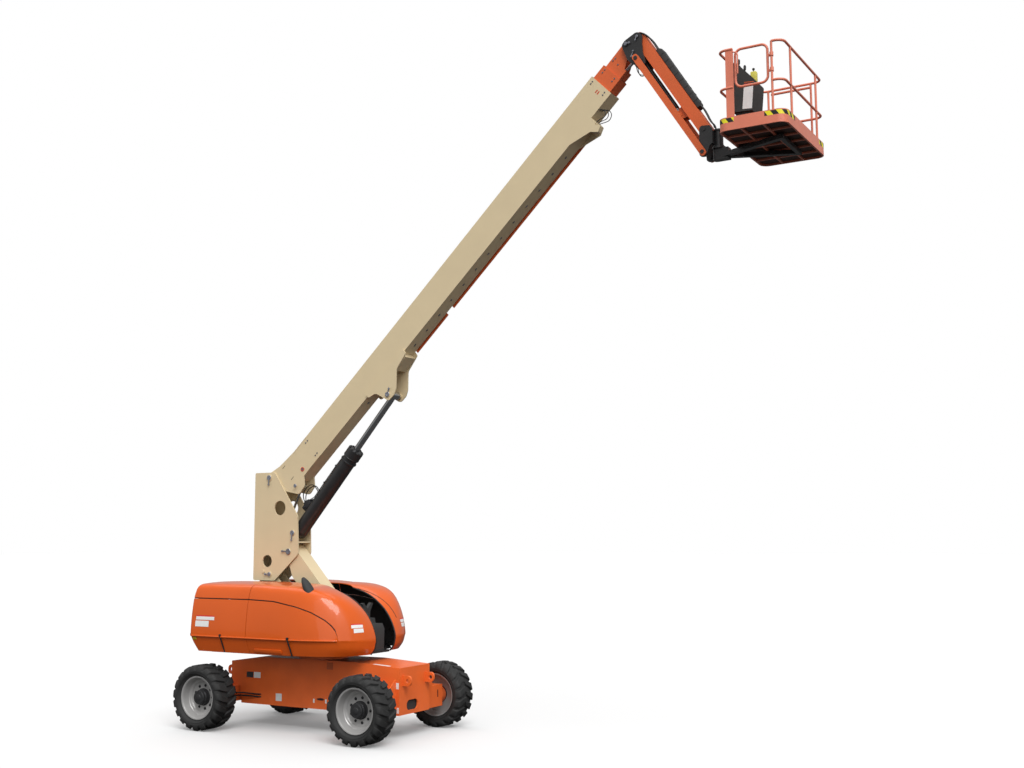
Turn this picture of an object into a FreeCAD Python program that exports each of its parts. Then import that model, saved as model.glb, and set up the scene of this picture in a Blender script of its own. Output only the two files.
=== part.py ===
"""A self-propelled telescopic boom lift, built as a parametric FreeCAD document.

Frame: X runs forward along the chassis towards the platform, Y to the machine's left, Z up.
The origin lies on the ground, in the middle of the wheelbase, on the swing axis.
Lengths are millimetres and angles are degrees. Every size sits in the sheet "Sizes", and each
sketch, feature and placement reads it from there, so a changed cell reshapes what depends on it.
"""
import FreeCAD, Part
import math
import os
import Sketcher
from FreeCAD import Placement, Rotation, Vector

# ------------------------------------------------------------------ driving sizes
SIZES = {
    # fits
    "fit": 0.3,                 # radial play of a pin or bearing, and a seated face
    "run": 5.0,                 # gap between pieces that move past each other
    # wheels and axles
    "wheelbase": 3050.0,
    "overall_width": 2500.0,
    "tyre_radius": 503.0,
    "tyre_width": 425.0,
    "tread_width": 372.0,
    "rim_radius": 330.0,
    "rim_width": 344.0,
    "rim_wall": 12.0,
    "flange_height": 22.0,
    "flange_thick": 14.0,
    "disc_thick": 16.0,
    "dish_radius": 230.0,
    "step_radius": 264.0,
    "dish_step": 50.0,
    "hub_radius": 125.0,
    "hub_reach": 150.0,
    "drum_radius": 140.0,
    "spindle_radius": 50.0,
    "spindle_length": 100.0,
    "axle_half": 150.0,
    "axle_low": 350.0,
    "axle_high": 680.0,
    "housing_length": 140.0,
    "axle_wall": 15.0,
    # steering axle
    "steer_beam_low": 380.0,
    "steer_beam_high": 620.0,
    "steer_beam_half": 130.0,
    "king_inset": 225.0,
    "king_radius": 30.0,
    "king_boss": 68.0,
    "yoke_plate": 42.0,
    "yoke_half": 62.0,
    "steer_arm": 230.0,
    "steer_arm_thick": 28.0,
    "tie_radius": 20.0,
    "steer_barrel_radius": 42.0,
    "steer_rod_radius": 20.0,
    "steer_rod_up": 455.0,
    "steer_bracket": 160.0,
    "steer_rod_out": 165.0,
    "steer_rod_share": 0.56164384,   # how much of the steering cylinder's bore its rod fills
    # chassis
    "chassis_width": 800.0,
    "chassis_plate": 20.0,
    "chassis_top": 1090.0,
    "chassis_low": 350.0,
    "front_overhang": 215.0,
    "chassis_nose_top": 1040.0,
    "rear_overhang": 35.0,
    "chassis_rear_top": 1000.0,
    "deck_front": 900.0,
    "deck_rear": 890.0,
    "gusset": 16.0,
    "lug_thick": 40.0,
    "lug_hole": 32.0,
    "lug_radius": 75.0,
    "lug_reach": 95.0,
    "lug_height": 850.0,
    "lug_offset": 300.0,
    # turntable
    "swing_radius": 390.0,
    "swing_bore": 270.0,
    "swing_height": 60.0,
    "table_low": 1200.0,
    "table_plate": 30.0,
    "table_half": 330.0,
    "tray_inset": 175.0,
    "engine_inner": 430.0,
    "engine_inset": 245.0,
    "cheek_gap": 20.0,
    "cheek_thick": 25.0,
    # riser linkage
    "link_length": 1400.0,
    "link_angle": 46.7,
    "link_top": 110.0,
    "link_deep": 235.0,
    "link_play": 10.0,
    "link_wall": 20.0,
    "riser_pin": 45.0,
    "timing_play": 23.0,
    "timing_deep": 60.0,
    "timing_bar": 22.0,
    "upright_plate": 25.0,
    "main_pin_across": -615.0,
    "main_pin_up": 2746.0,
    "timing_pin_across": -1007.0,
    "timing_pin_up": 2379.0,
    "riser_barrel": 58.0,
    "riser_rod": 34.0,
    "riser_eye_along": 170.0,
    "riser_eye_below": 60.0,
    "riser_eye_half": 70.0,
    "riser_barrel_length": 800.0,
    "riser_retract": 420.0,
    # boom
    "boom_angle": 44.0,
    "pivot_across": -1048.0,
    "pivot_up": 3944.0,
    "pivot_pin": 55.0,
    "base_length": 8235.0,
    "base_half": 140.0,
    "base_top": 40.0,
    "base_low": 476.0,
    "base_wall": 9.0,
    "section_inset": 25.0,      # how far each section's sides lie inside the next one out
    "mid_shows": 230.0,
    "mid_drop": 24.0,
    "mid_rise": 44.0,
    "mid_wall": 8.0,
    "fly_shows": 145.0,
    "fly_drop": 29.0,
    "fly_rise": 22.0,
    "fly_wall": 7.0,
    "tube_start": 560.0,
    "mid_start": 660.0,
    "fly_start": 760.0,
    "pad_length": 140.0,
    "nose_reach": 279.0,
    "nose_below": 157.0,
    "nose_pin": 38.0,
    # boom lift cylinder
    "lift_base_across": -539.0,
    "lift_base_up": 3046.0,
    "lift_eye_along": 2561.0,
    "lift_eye_below": 755.0,
    "lift_barrel": 120.0,
    "lift_gland": 133.0,
    "lift_rod": 50.0,
    "lift_barrel_length": 1720.0,
    "lift_eye_radius": 60.0,
    "lift_eye_half": 90.0,
    "lift_retract": 860.0,
    "lift_pin": 45.0,
    # levelling cylinders
    "level_eye_along": 297.0,
    "level_eye_below": 488.0,
    "level_base_across": -1137.0,
    "level_base_up": 2420.0,
    "level_barrel_length": 980.0,
    "level_retract": 475.0,
    "level_barrel": 40.0,
    "level_rod": 20.0,
    "level_pin": 24.0,
    "level_eye_half": 60.0,
    # knuckle and jib; their places are given for a nose pin at nose_rest, and follow it
    "nose_rest_across": 5455.2728,
    "nose_rest_up": 10005.8819,
    "knuckle_gap": 32.0,
    "knuckle_plate": 28.0,
    "pin_head": 12.0,
    "jib_pin_across": 5632.0,
    "jib_pin_up": 10083.0,
    "jib_link_pin_across": 5621.0,
    "jib_link_pin_up": 9753.0,
    "slave_pin_across": 5547.0,
    "slave_pin_up": 9801.0,
    "slave_eye_half": 55.0,
    "slave_inset": 620.0,
    "slave_above": 102.0,
    "slave_barrel_length": 540.0,
    "slave_retract": 130.0,
    "jib_angle": 57.7,
    "jib_length": 1820.0,
    "jib_play": 22.0,
    "jib_above": 88.0,
    "jib_below": 77.0,
    "jib_wall": 8.0,
    "jib_pin": 28.0,
    "jib_link_deep": 46.0,
    "jib_bar": 22.0,
    "jib_base_across": 5683.0,
    "jib_base_up": 9735.0,
    "jib_eye_along": 1378.0,
    "jib_eye_below": 150.0,
    "jib_barrel": 36.0,
    "jib_rod": 18.0,
    "jib_barrel_length": 900.0,
    "jib_retract": 20.0,
    "jib_eye_radius": 42.0,
    # platform; its places are given for a jib that ends at jib_rest, and follow it
    "jib_rest_across": 6604.5213,
    "jib_rest_up": 8544.6235,
    "rotator_across": 6770.0,
    "rotator_radius": 72.0,
    "rotator_low": 8305.0,
    "rotator_high": 8535.0,
    "deck_rear_edge": 7080.0,
    "deck_front_edge": 8000.0,
    "deck_half": 900.0,
    "deck_low": 8200.0,
    "deck_corner": 125.0,
    "floor_low": 8226.0,
    "floor_thick": 8.0,
    "toe_top": 8375.0,
    "toe_plate": 6.0,
    "rail_top": 9290.0,
    "rail_mid": 8770.0,
    "rail_tube": 17.0,
    "post_tube": 15.5,
    "rail_bend": 110.0,
    # hoods
    "hood_inner": 350.0,
    "hood_inset": 45.0,
    "hood_wall": 30.0,
    "left_hood_short": 150.0,
    "hood_low": 1210.0,
    "hood_top": 2275.0,
    "hood_hinge_below": 85.0,
    "hood_hinge_pin": 12.0,
    "hinge_ring": 26.0,
    "hinge_post": 298.0,
    "hinge_rear": -720.0,
    "hinge_front": -160.0,
}

os.makedirs("parts", exist_ok=True)
doc = FreeCAD.newDocument("boom_lift")
sheet = doc.addObject("Spreadsheet::Sheet", "Sizes")
for row, (alias, number) in enumerate(SIZES.items(), start=1):
    sheet.set("A%d" % row, alias)
    sheet.set("B%d" % row, str(number))
    sheet.setAlias("B%d" % row, alias)
doc.recompute()


class Size:
    """A number that remembers the sheet expression it was worked out from."""

    def __init__(self, value, text):
        self.value = float(value)
        self.text = text

    def __add__(self, other):
        other = size(other)
        return Size(self.value + other.value, "(%s + %s)" % (self.text, other.text))

    def __radd__(self, other):
        return size(other) + self

    def __sub__(self, other):
        other = size(other)
        return Size(self.value - other.value, "(%s - %s)" % (self.text, other.text))

    def __rsub__(self, other):
        return size(other) - self

    def __mul__(self, other):
        other = size(other)
        return Size(self.value * other.value, "%s * %s" % (self.text, other.text))

    def __rmul__(self, other):
        return size(other) * self

    def __truediv__(self, other):
        other = size(other)
        return Size(self.value / other.value, "(%s / %s)" % (self.text, other.text))

    def __neg__(self):
        return Size(-self.value, "(-1 * %s)" % self.text)


def size(number):
    """Return number as a Size; a plain number becomes a literal in the expression."""
    if isinstance(number, Size):
        return number
    return Size(number, "(%r)" % float(number))


def sine(angle):
    return Size(math.sin(math.radians(angle.value)), "sin(%s * 1 deg)" % angle.text)


def cosine(angle):
    return Size(math.cos(math.radians(angle.value)), "cos(%s * 1 deg)" % angle.text)


def angle_of(rise, reach):
    """Return the direction of (reach, rise) in degrees, from the first axis to the second."""
    value = math.degrees(math.atan2(rise.value, reach.value))
    return Size(value, "(atan2(%s ; %s) / 1 deg)" % (rise.text, reach.text))


def distance(reach, rise):
    value = math.hypot(reach.value, rise.value)
    return Size(value, "sqrt(%s * %s + %s * %s)" % (reach.text, reach.text, rise.text, rise.text))


class Sheet:
    """The sheet's cells by alias, each as a Size."""

    def __getattr__(self, alias):
        return Size(sheet.get(alias), "Sizes.%s" % alias)


D = Sheet()


# ------------------------------------------------------------------ sketching helpers
def bind(owner, path, number):
    """Bind one property of a document object to an expression, where it isn't a plain literal."""
    if "Sizes." in number.text:
        owner.setExpression(path, number.text)


def place(sketch, geometry, point, across, up):
    """Fix one point of a sketch at two bound distances from the sketch's origin."""
    for kind, number in (("DistanceX", across), ("DistanceY", up)):
        index = sketch.addConstraint(
            Sketcher.Constraint(kind, -1, 1, geometry, point, number.value))
        bind(sketch, "Constraints[%d]" % index, number)


def span_of(first, second):
    """Return two sizes in rising order."""
    first, second = size(first), size(second)
    return (first, second) if first.value <= second.value else (second, first)


def circle(across, up, radius):
    """Return a loop maker for a circle."""
    across, up, radius = size(across), size(up), size(radius)

    def draw(sketch):
        centre = Vector(across.value, up.value, 0)
        index = sketch.addGeometry(Part.Circle(centre, Vector(0, 0, 1), radius.value), False)
        place(sketch, index, 3, across, up)
        mark = sketch.addConstraint(Sketcher.Constraint("Radius", index, radius.value))
        bind(sketch, "Constraints[%d]" % mark, radius)
    return draw


def outline(*corners):
    """Return a loop maker for a closed polygon; a corner with a third number is rounded by it."""
    points = [tuple(size(number) for number in corner) for corner in corners]

    def draw(sketch):
        count = len(points)
        flat = [Vector(p[0].value, p[1].value, 0) for p in points]
        leave, arrive = [], []
        for i, point in enumerate(points):
            back = (flat[i - 1] - flat[i]).normalize()
            ahead = (flat[(i + 1) % count] - flat[i]).normalize()
            if len(point) < 3:
                arrive.append(flat[i])
                leave.append(flat[i])
                continue
            half_turn = back.getAngle(ahead) / 2
            reach = point[2].value / math.tan(half_turn)
            arrive.append(flat[i] + back * reach)
            leave.append(flat[i] + ahead * reach)
        sides = [sketch.addGeometry(Part.LineSegment(leave[i], arrive[(i + 1) % count]), False)
                 for i in range(count)]
        for i, point in enumerate(points):
            before, after = sides[i - 1], sides[i]
            if len(point) < 3:
                sketch.addConstraint(Sketcher.Constraint("Coincident", before, 2, after, 1))
                place(sketch, after, 1, point[0], point[1])
                continue
            round_corner(sketch, flat, i, arrive[i], leave[i], before, after, point)
    return draw


def round_corner(sketch, flat, i, arrive, leave, before, after, point):
    """Join two sides by a tangent arc; a construction point holds the sharp corner's place."""
    inward = (flat[i - 1] - flat[i]).normalize() + (flat[(i + 1) % len(flat)] - flat[i]).normalize()
    inward.normalize()
    half_turn = (flat[i - 1] - flat[i]).getAngle(flat[(i + 1) % len(flat)] - flat[i]) / 2
    centre = flat[i] + inward * (point[2].value / math.sin(half_turn))
    middle = centre - inward * point[2].value
    turn = (flat[i] - flat[i - 1]).cross(flat[(i + 1) % len(flat)] - flat[i]).z
    ends, first, last = ((arrive, leave), 1, 2) if turn > 0 else ((leave, arrive), 2, 1)
    index = sketch.addGeometry(Part.Arc(ends[0], middle, ends[1]), False)
    sketch.addConstraint(Sketcher.Constraint("Tangent", before, 2, index, first))
    sketch.addConstraint(Sketcher.Constraint("Tangent", index, last, after, 1))
    mark = sketch.addConstraint(Sketcher.Constraint("Radius", index, point[2].value))
    bind(sketch, "Constraints[%d]" % mark, point[2])
    corner = sketch.addGeometry(Part.Point(flat[i]), True)
    place(sketch, corner, 1, point[0], point[1])
    sketch.addConstraint(Sketcher.Constraint("PointOnObject", corner, 1, before))
    sketch.addConstraint(Sketcher.Constraint("PointOnObject", corner, 1, after))


def box_loop(left, low, right, high):
    return outline((left, low), (right, low), (right, high), (left, high))


# ------------------------------------------------------------------ sub-parts
NODES = []


class Piece:
    """One sub-part: a PartDesign body with sketched features, placed by bound sizes.

    at is the body's origin in the machine's frame. tilt turns it about that origin in the
    XZ plane, in degrees from X towards Z, and turn spins it about Z instead.
    """

    def __init__(self, label, at=(0, 0, 0), tilt=None, turn=None, keep=True):
        self.body = doc.addObject("PartDesign::Body", label)
        self.body.Label = label
        self.body.AllowCompound = True
        self.label = label
        self.count = 0
        at = [size(number) for number in at]
        axis, angle = Vector(0, -1, 0), size(0)
        if tilt is not None:
            angle = size(tilt)
        if turn is not None:
            axis, angle = Vector(0, 0, 1), size(turn)
        if angle.value < 0:
            axis, angle = axis * -1, -angle
        base = Vector(*[number.value for number in at])
        self.body.Placement = Placement(base, Rotation(axis, angle.value))
        for letter, number in zip("xyz", at):
            bind(self.body, "Placement.Base.%s" % letter, number)
        if angle.value:
            bind(self.body, "Placement.Rotation.Angle", angle)
        if keep:
            NODES.append(self.body)

    def sketch(self, plane, start, end, loops):
        """Draw loops on an origin plane of this body, at the side a pad or pocket starts from."""
        self.count += 1
        sketch = self.body.newObject("Sketcher::SketchObject", "%s_sketch%d" % (self.label, self.count))
        role = plane + "_Plane"
        support = [item for item in self.body.Origin.OriginFeatures if item.Role == role][0]
        sketch.AttachmentSupport = [(support, "")]
        sketch.MapMode = "FlatFace"
        offset = -size(end) if plane == "XZ" else size(start)
        sketch.AttachmentOffset = Placement(Vector(0, 0, offset.value), Rotation())
        bind(sketch, "AttachmentOffset.Base.z", offset)
        for loop in loops:
            loop(sketch)
        return sketch

    def feature(self, kind, sketch):
        feature = self.body.newObject("PartDesign::%s" % kind, "%s_%s%d" % (self.label, kind.lower(), self.count))
        feature.Profile = sketch
        sketch.Visibility = False
        return feature

    def pad(self, plane, start, end, *loops):
        """Add the loops' area between two offsets from an origin plane."""
        feature = self.feature("Pad", self.sketch(plane, start, end, loops))
        length = size(end) - size(start)
        feature.Length = length.value
        bind(feature, "Length", length)
        return self

    def pocket(self, plane, start, end, *loops):
        """Take the loops' area away between two offsets from an origin plane."""
        feature = self.feature("Pocket", self.sketch(plane, start, end, loops))
        feature.Reversed = True
        length = size(end) - size(start)
        feature.Length = length.value
        bind(feature, "Length", length)
        return self

    def revolve(self, plane, *loops):
        """Spin the loops round the sketch's first axis."""
        sketch = self.sketch(plane, 0, 0, loops)
        feature = self.feature("Revolution", sketch)
        feature.ReferenceAxis = (sketch, ["H_Axis"])
        feature.Angle = 360.0
        return self


def spool(piece, along, up, radius, start, end):
    """A round boss or pin across a piece, its axis parallel to Y."""
    return piece.pad("XZ", start, end, circle(along, up, radius))


# ------------------------------------------------------------------ wheels
half_base = D.wheelbase / 2
wheel_offset = (D.overall_width - D.tyre_width) / 2
rim_half = D.rim_width / 2
bead_seat = D.rim_radius - D.flange_height
spindle_start = wheel_offset - D.hub_reach / 4
axle_reach = spindle_start - D.housing_length
king_offset = spindle_start - D.king_inset


def make_tyre(label, across, side):
    """The foam-filled tyre: flat tread, rounded shoulders, and beads that sit on the rim."""
    bead = rim_half - D.flange_thick - D.fit
    half, tread = D.tyre_width / 2, D.tread_width / 2
    bore = bead_seat + D.fit
    tyre = Piece(label, at=(across, wheel_offset * side, D.tyre_radius))
    tyre.revolve("YZ", outline(
        (-bead, bore), (bead, bore), (bead, D.rim_radius + 8), (half, D.rim_radius + 70),
        (half, D.tyre_radius - 60, 45), (tread, D.tyre_radius), (-tread, D.tyre_radius),
        (-half, D.tyre_radius - 60, 45), (-half, D.rim_radius + 70), (-bead, D.rim_radius + 8)))
    return tyre


def make_rim(label, across, side):
    """The dished wheel: barrel, flanges, disc and the hub that stands out of it."""
    s = side
    wall = bead_seat - D.rim_wall
    disc = D.disc_thick / 2
    flange = rim_half - D.flange_thick
    inner_hub = -(D.hub_reach / 4 - D.run)
    bore = D.spindle_radius + D.fit
    bore_end = D.spindle_length - D.hub_reach / 4 + D.run
    rim = Piece(label, at=(across, wheel_offset * side, D.tyre_radius))
    rim.revolve("YZ", outline(
        (rim_half * s, D.rim_radius), (flange * s, D.rim_radius), (flange * s, bead_seat),
        (-flange * s, bead_seat), (-flange * s, D.rim_radius), (-rim_half * s, D.rim_radius),
        (-rim_half * s, wall), (-disc * s, wall), (-disc * s, D.drum_radius),
        (inner_hub * s, D.drum_radius), (inner_hub * s, bore), (bore_end * s, bore),
        (bore_end * s, 0), (D.hub_reach * s, 0), (D.hub_reach * s, D.hub_radius),
        (disc * s, D.hub_radius), (disc * s, D.dish_radius), ((disc + D.dish_step) * s, D.step_radius),
        ((disc + D.dish_step) * s, wall - 14), (rim_half * s, wall)))
    return rim


for end, across in (("front", half_base), ("rear", -half_base)):
    for name, side in (("left", 1), ("right", -1)):
        make_tyre("%s_%s_tyre" % (end, name), across, side)
        make_rim("%s_%s_rim" % (end, name), across, side)


# ------------------------------------------------------------------ chassis and axles
chassis_front = half_base + D.front_overhang
chassis_rear = half_base + D.rear_overhang


def make_chassis():
    """The welded box: sloped deck, stepped tail, axle windows, oval port and tie-down lugs."""
    half = D.chassis_width / 2
    plate = D.chassis_plate
    tail = -chassis_rear
    frame = Piece("chassis_frame")
    profile = outline(
        (tail, D.steer_beam_high), (tail + 180, D.steer_beam_high), (tail + 220, D.chassis_low),
        (chassis_front, D.chassis_low), (chassis_front, D.chassis_nose_top),
        (D.deck_front, D.chassis_top), (-D.deck_rear, D.chassis_top), (tail, D.chassis_rear_top))
    frame.pad("XZ", -half, half, profile)
    inner = outline(
        (tail + plate, D.steer_beam_high + plate), (tail + 180 + plate, D.steer_beam_high + plate),
        (tail + 220 + plate, D.chassis_low + plate), (chassis_front - plate, D.chassis_low + plate),
        (chassis_front - plate, D.chassis_nose_top - plate), (D.deck_front, D.chassis_top - plate),
        (-D.deck_rear, D.chassis_top - plate), (tail + plate, D.chassis_rear_top - plate))
    frame.pocket("XZ", plate - half, half - plate, inner)
    window = D.axle_half + D.fit
    frame.pocket("XZ", -half - 1, half + 1, box_loop(
        half_base - window, D.chassis_low - 1, half_base + window, D.axle_high + D.fit))
    frame.pocket("YZ", chassis_front - plate - 1, chassis_front + 1, outline(
        (-205, 405, 70), (85, 405, 70), (85, 555, 70), (-205, 555, 70)))
    seat = D.axle_high + D.fit
    for side in (1, -1):
        for across in (half_base - D.axle_half, half_base + D.axle_half - D.gusset):
            frame.pad("YZ", across, across + D.gusset, outline(
                ((half - 1) * side, seat), ((half + 190) * side, seat),
                ((half + 190) * side, seat + 35, 12), ((half + 60) * side, seat + 150, 90),
                ((half - 1) * side, seat + 190)))
    for end, face in ((1, chassis_front), (-1, chassis_rear)):
        for lug_side in (1, -1):
            middle = D.lug_offset * lug_side
            start = face * end
            tip = start + D.lug_reach * end
            frame.pad("XZ", middle - D.lug_thick / 2, middle + D.lug_thick / 2, outline(
                (start, D.lug_height - D.lug_radius), (tip + 55 * end, D.lug_height - D.lug_radius, 60),
                (tip + 55 * end, D.lug_height + D.lug_radius, 60), (start, D.lug_height + D.lug_radius)))
            frame.pocket("XZ", middle - D.lug_thick, middle + D.lug_thick,
                         circle(tip, D.lug_height, D.lug_hole))
    return frame


def make_front_axle():
    """The rigid beam through the chassis, with a drive housing and a spindle at each end."""
    beam = Piece("front_axle", at=(half_base, 0, 0))
    half, wall = D.axle_half, D.axle_wall
    beam.pad("XZ", -axle_reach, axle_reach, box_loop(-half, D.axle_low, half, D.axle_high))
    beam.pocket("XZ", -axle_reach + wall, axle_reach - wall, box_loop(
        -half + wall, D.axle_low + wall, half - wall, D.axle_high - wall))
    for side in (1, -1):
        ends = span_of(axle_reach * side, spindle_start * side)
        spool(beam, 0, D.tyre_radius, D.drum_radius - 12, *ends)
        tips = span_of(spindle_start * side, (spindle_start + D.spindle_length) * side)
        spool(beam, 0, D.tyre_radius, D.spindle_radius, *tips)
    return beam


def make_rear_axle():
    """The steering beam under the tail, with a bored kingpin boss at each end."""
    half = D.steer_beam_half
    top = D.steer_beam_high - D.fit
    beam = Piece("rear_axle", at=(-half_base, 0, 0))
    reach = king_offset - D.king_boss
    beam.pad("XZ", -reach, reach, box_loop(-half, D.steer_beam_low, half, top))
    beam.pocket("XZ", -reach + 20, reach - 20, box_loop(
        -half + 15, D.steer_beam_low + 15, half - 15, top - 15))
    for side in (1, -1):
        beam.pad("XY", D.steer_beam_low, top, circle(0, king_offset * side, D.king_boss))
        neck = span_of((reach - 10) * side, king_offset * side)
        beam.pad("XZ", neck[0], neck[1], box_loop(
            -D.king_boss, D.steer_beam_low, D.king_boss, top))
    for side in (1, -1):
        beam.pocket("XY", D.steer_beam_low - 1, top + 1,
                    circle(0, king_offset * side, D.king_radius + D.fit))
    beam.pad("XY", D.steer_rod_up - 40, D.steer_rod_up + 48, box_loop(
        -D.steer_arm - 26, -D.steer_bracket, -half + 5, 70 - D.steer_bracket))
    return beam


def make_knuckle(label, side):
    """A steering knuckle: yoke over the beam's end, kingpin, spindle and rearward arm."""
    top = D.steer_beam_high
    low = D.steer_beam_low
    knuckle = Piece(label, at=(-half_base, 0, 0))
    king = king_offset * side
    web = (king_offset + D.king_boss + D.run) * side
    outer = (king_offset + D.king_boss + D.run + 30) * side
    span = span_of(king, outer)
    for bottom, ceiling in ((low - D.run - D.yoke_plate, low - D.run),
                            (top + D.run, top + D.run + D.yoke_plate)):
        knuckle.pad("XY", bottom, ceiling, circle(0, king, D.yoke_half))
        knuckle.pad("XY", bottom, ceiling, box_loop(-D.yoke_half, span[0], D.yoke_half, span[1]))
    knuckle.pad("XY", low - D.run - D.yoke_plate, top + D.run + D.yoke_plate,
                circle(0, king, D.king_radius))
    wall = span_of(web, outer)
    knuckle.pad("XZ", wall[0], wall[1], box_loop(
        -D.yoke_half, low - D.run - D.yoke_plate, D.yoke_half, top + D.run + D.yoke_plate))
    drum = span_of(outer, spindle_start * side)
    spool(knuckle, 0, D.tyre_radius, D.drum_radius - 12, *drum)
    tip = span_of(spindle_start * side, (spindle_start + D.spindle_length) * side)
    spool(knuckle, 0, D.tyre_radius, D.spindle_radius, *tip)
    arm_low = low - D.run - D.yoke_plate
    arm = outline((0, king - 34), (0, king + 34), (-D.steer_arm - 30, king + 30, 28),
                  (-D.steer_arm - 30, king - 30, 28))
    knuckle.pad("XY", arm_low, arm_low + D.steer_arm_thick, arm)
    knuckle.pocket("XY", arm_low - 1, arm_low + D.steer_arm_thick + 1,
                   circle(-D.steer_arm, king, 12 + D.fit))
    return knuckle


def make_tie_rod():
    """The bar between the two steering arms, with an eye and a ball stud at each end."""
    arm_low = D.steer_beam_low - D.run - D.yoke_plate
    seat = arm_low + D.steer_arm_thick + D.fit
    axis = seat + 26
    rod = Piece("tie_rod", at=(-half_base - D.steer_arm, 0, 0))
    spool(rod, 0, axis, D.tie_radius, -king_offset, king_offset)
    for side in (1, -1):
        rod.pad("XY", seat, seat + 52, circle(0, king_offset * side, 34))
        rod.pad("XY", arm_low - 20, seat + 1, circle(0, king_offset * side, 12))
    return rod


def make_steer_cylinder():
    """The steering cylinder beside the rear beam: barrel held on the beam, rod out to the arm."""
    across = -half_base - D.steer_arm + 20
    up = D.steer_rod_up
    barrel = Piece("steer_cylinder_barrel", at=(across, 0, 0))
    mouth = 35 + D.steer_rod_out - king_offset
    bottom = -D.steer_bracket - 50
    spool(barrel, 0, up, D.steer_barrel_radius, mouth, -D.steer_bracket - D.fit)
    barrel.pocket("XZ", mouth - 1, bottom, circle(0, up, D.steer_rod_radius + D.fit))
    rod = Piece("steer_cylinder_rod", at=(across, 0, 0))
    spool(rod, 0, up, D.steer_rod_radius, 35 - king_offset, mouth + (bottom - mouth) * D.steer_rod_share)
    rod.pad("XY", up - 34, up + 24, circle(0, -king_offset, 36))
    return barrel, rod


make_chassis()
make_front_axle()
make_rear_axle()
make_knuckle("left_steer_knuckle", 1)
make_knuckle("right_steer_knuckle", -1)
make_tie_rod()
make_steer_cylinder()

# ------------------------------------------------------------------ turntable
swing_top = D.chassis_top + D.swing_height
link_run, link_drop = D.link_length * cosine(D.link_angle), D.link_length * sine(D.link_angle)
main_low = (D.main_pin_across + link_run, D.main_pin_up - link_drop)
timing_low = (D.timing_pin_across + link_run, D.timing_pin_up - link_drop)
upright_inner = D.base_half + D.run
upright_half = upright_inner + D.upright_plate
link_half = upright_inner - D.link_play
timing_half = upright_inner - D.timing_play
cheek_inner = upright_half + D.cheek_gap
hood_outer = D.overall_width / 2 - D.hood_inset
hood_hinge_up = D.hood_top - D.hood_hinge_below
tray_half = hood_outer - D.tray_inset


def make_swing_bearing():
    bearing = Piece("swing_bearing")
    bearing.pad("XY", D.chassis_top, swing_top, circle(0, 0, D.swing_radius), circle(0, 0, D.swing_bore))
    return bearing


def make_turntable():
    """The revolving frame: bed plate, bearing spigot, side trays, pin cheeks and hood posts."""
    low, top = D.table_low, D.table_low + D.table_plate
    table = Piece("turntable_frame")
    table.pad("XY", low, top, outline(
        (-1620, -D.table_half), (1060, -D.table_half, 60), (1060, D.table_half, 60),
        (-1620, D.table_half)))
    table.pad("XY", low, top, outline(
        (-1450, -tray_half, 60), (520, -tray_half, 160), (760, -760, 160), (860, 0), (760, 760, 160),
        (520, tray_half, 160), (-1450, tray_half, 60)))
    table.pad("XY", swing_top + D.run, low + 1, circle(0, 0, D.swing_radius))
    table.pad("XY", D.chassis_top + 8, swing_top + D.run + 1, circle(0, 0, D.swing_bore - D.fit))
    table.pocket("XY", D.chassis_top + 7, top + 1, circle(0, 0, D.swing_bore - 45))
    cheek = outline(
        (-230, top - 1), (720, top - 1), (main_low[0] + 150, main_low[1] + 20, 90),
        (main_low[0] + 40, main_low[1] + 130, 90), (main_low[0] - 120, main_low[1] + 110, 90),
        (timing_low[0] - 130, timing_low[1] + 90, 70))
    for side in (1, -1):
        span = span_of(cheek_inner * side, (cheek_inner + D.cheek_thick) * side)
        table.pad("XZ", span[0], span[1], cheek)
    pin_end = cheek_inner + D.cheek_thick + 12
    spool(table, main_low[0], main_low[1], D.riser_pin, -pin_end, pin_end)
    spool(table, timing_low[0], timing_low[1], D.riser_pin, -pin_end, pin_end)
    for side in (1, -1):
        post, eye = D.hinge_post * side, D.hood_inner * side
        for across in (D.hinge_rear, D.hinge_front):
            table.pad("XY", top - 1, hood_hinge_up - 40, box_loop(
                across - 25, post - 15, across + 25, post + 15))
            reach = span_of(post - 15 * side, eye)
            table.pad("YZ", across - 12, across + 12, box_loop(
                reach[0], hood_hinge_up - 60, reach[1], hood_hinge_up))
            table.pad("YZ", across - 12, across + 12, circle(eye, hood_hinge_up, 20))
            table.pad("YZ", across - 60, across + 60, circle(eye, hood_hinge_up, D.hood_hinge_pin))
    return table


def make_counterweight():
    """The cast weight at the tail, slotted so the folded upright drops into it."""
    low = D.table_low + D.table_plate
    top = D.hood_top - 155
    slot = upright_half + 30
    weight = Piece("counterweight")
    weight.pad("YZ", -1690, -780, outline(
        (-D.table_half, low), (D.table_half, low), (D.table_half, top, 30), (slot, top),
        (slot, low + 60), (-slot, low + 60), (-slot, top), (-D.table_half, top, 30)))
    return weight


def make_engine():
    low = D.table_low + D.table_plate
    engine = Piece("engine_block")
    engine.pad("XY", low, low + 720, box_loop(-1250, D.engine_inner, -150, hood_outer - D.engine_inset))
    return engine


def make_console():
    """The black cover between the hood noses, with the boom rest's forked bracket on it."""
    low = D.table_low + D.table_plate
    console = Piece("front_console")
    console.pad("XZ", -250, 170, outline(
        (800, low), (1040, low), (1050, 1560), (1010, 1640), (880, 1640), (860, 1720), (800, 1720)))
    console.pad("YZ", 820, 870, outline(
        (-90, 1639), (30, 1639), (40, 1830), (110, 1950), (60, 1960), (-30, 1870), (-120, 1960),
        (-170, 1950), (-100, 1830)))
    return console


make_swing_bearing()
make_turntable()
make_counterweight()
make_engine()
make_console()


# ------------------------------------------------------------------ hoods
def flat_sketch(name, rotation, *loops):
    sketch = doc.addObject("Sketcher::SketchObject", name)
    sketch.Placement = Placement(Vector(0, 0, 0), rotation)
    for loop in loops:
        loop(sketch)
    return sketch


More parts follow.
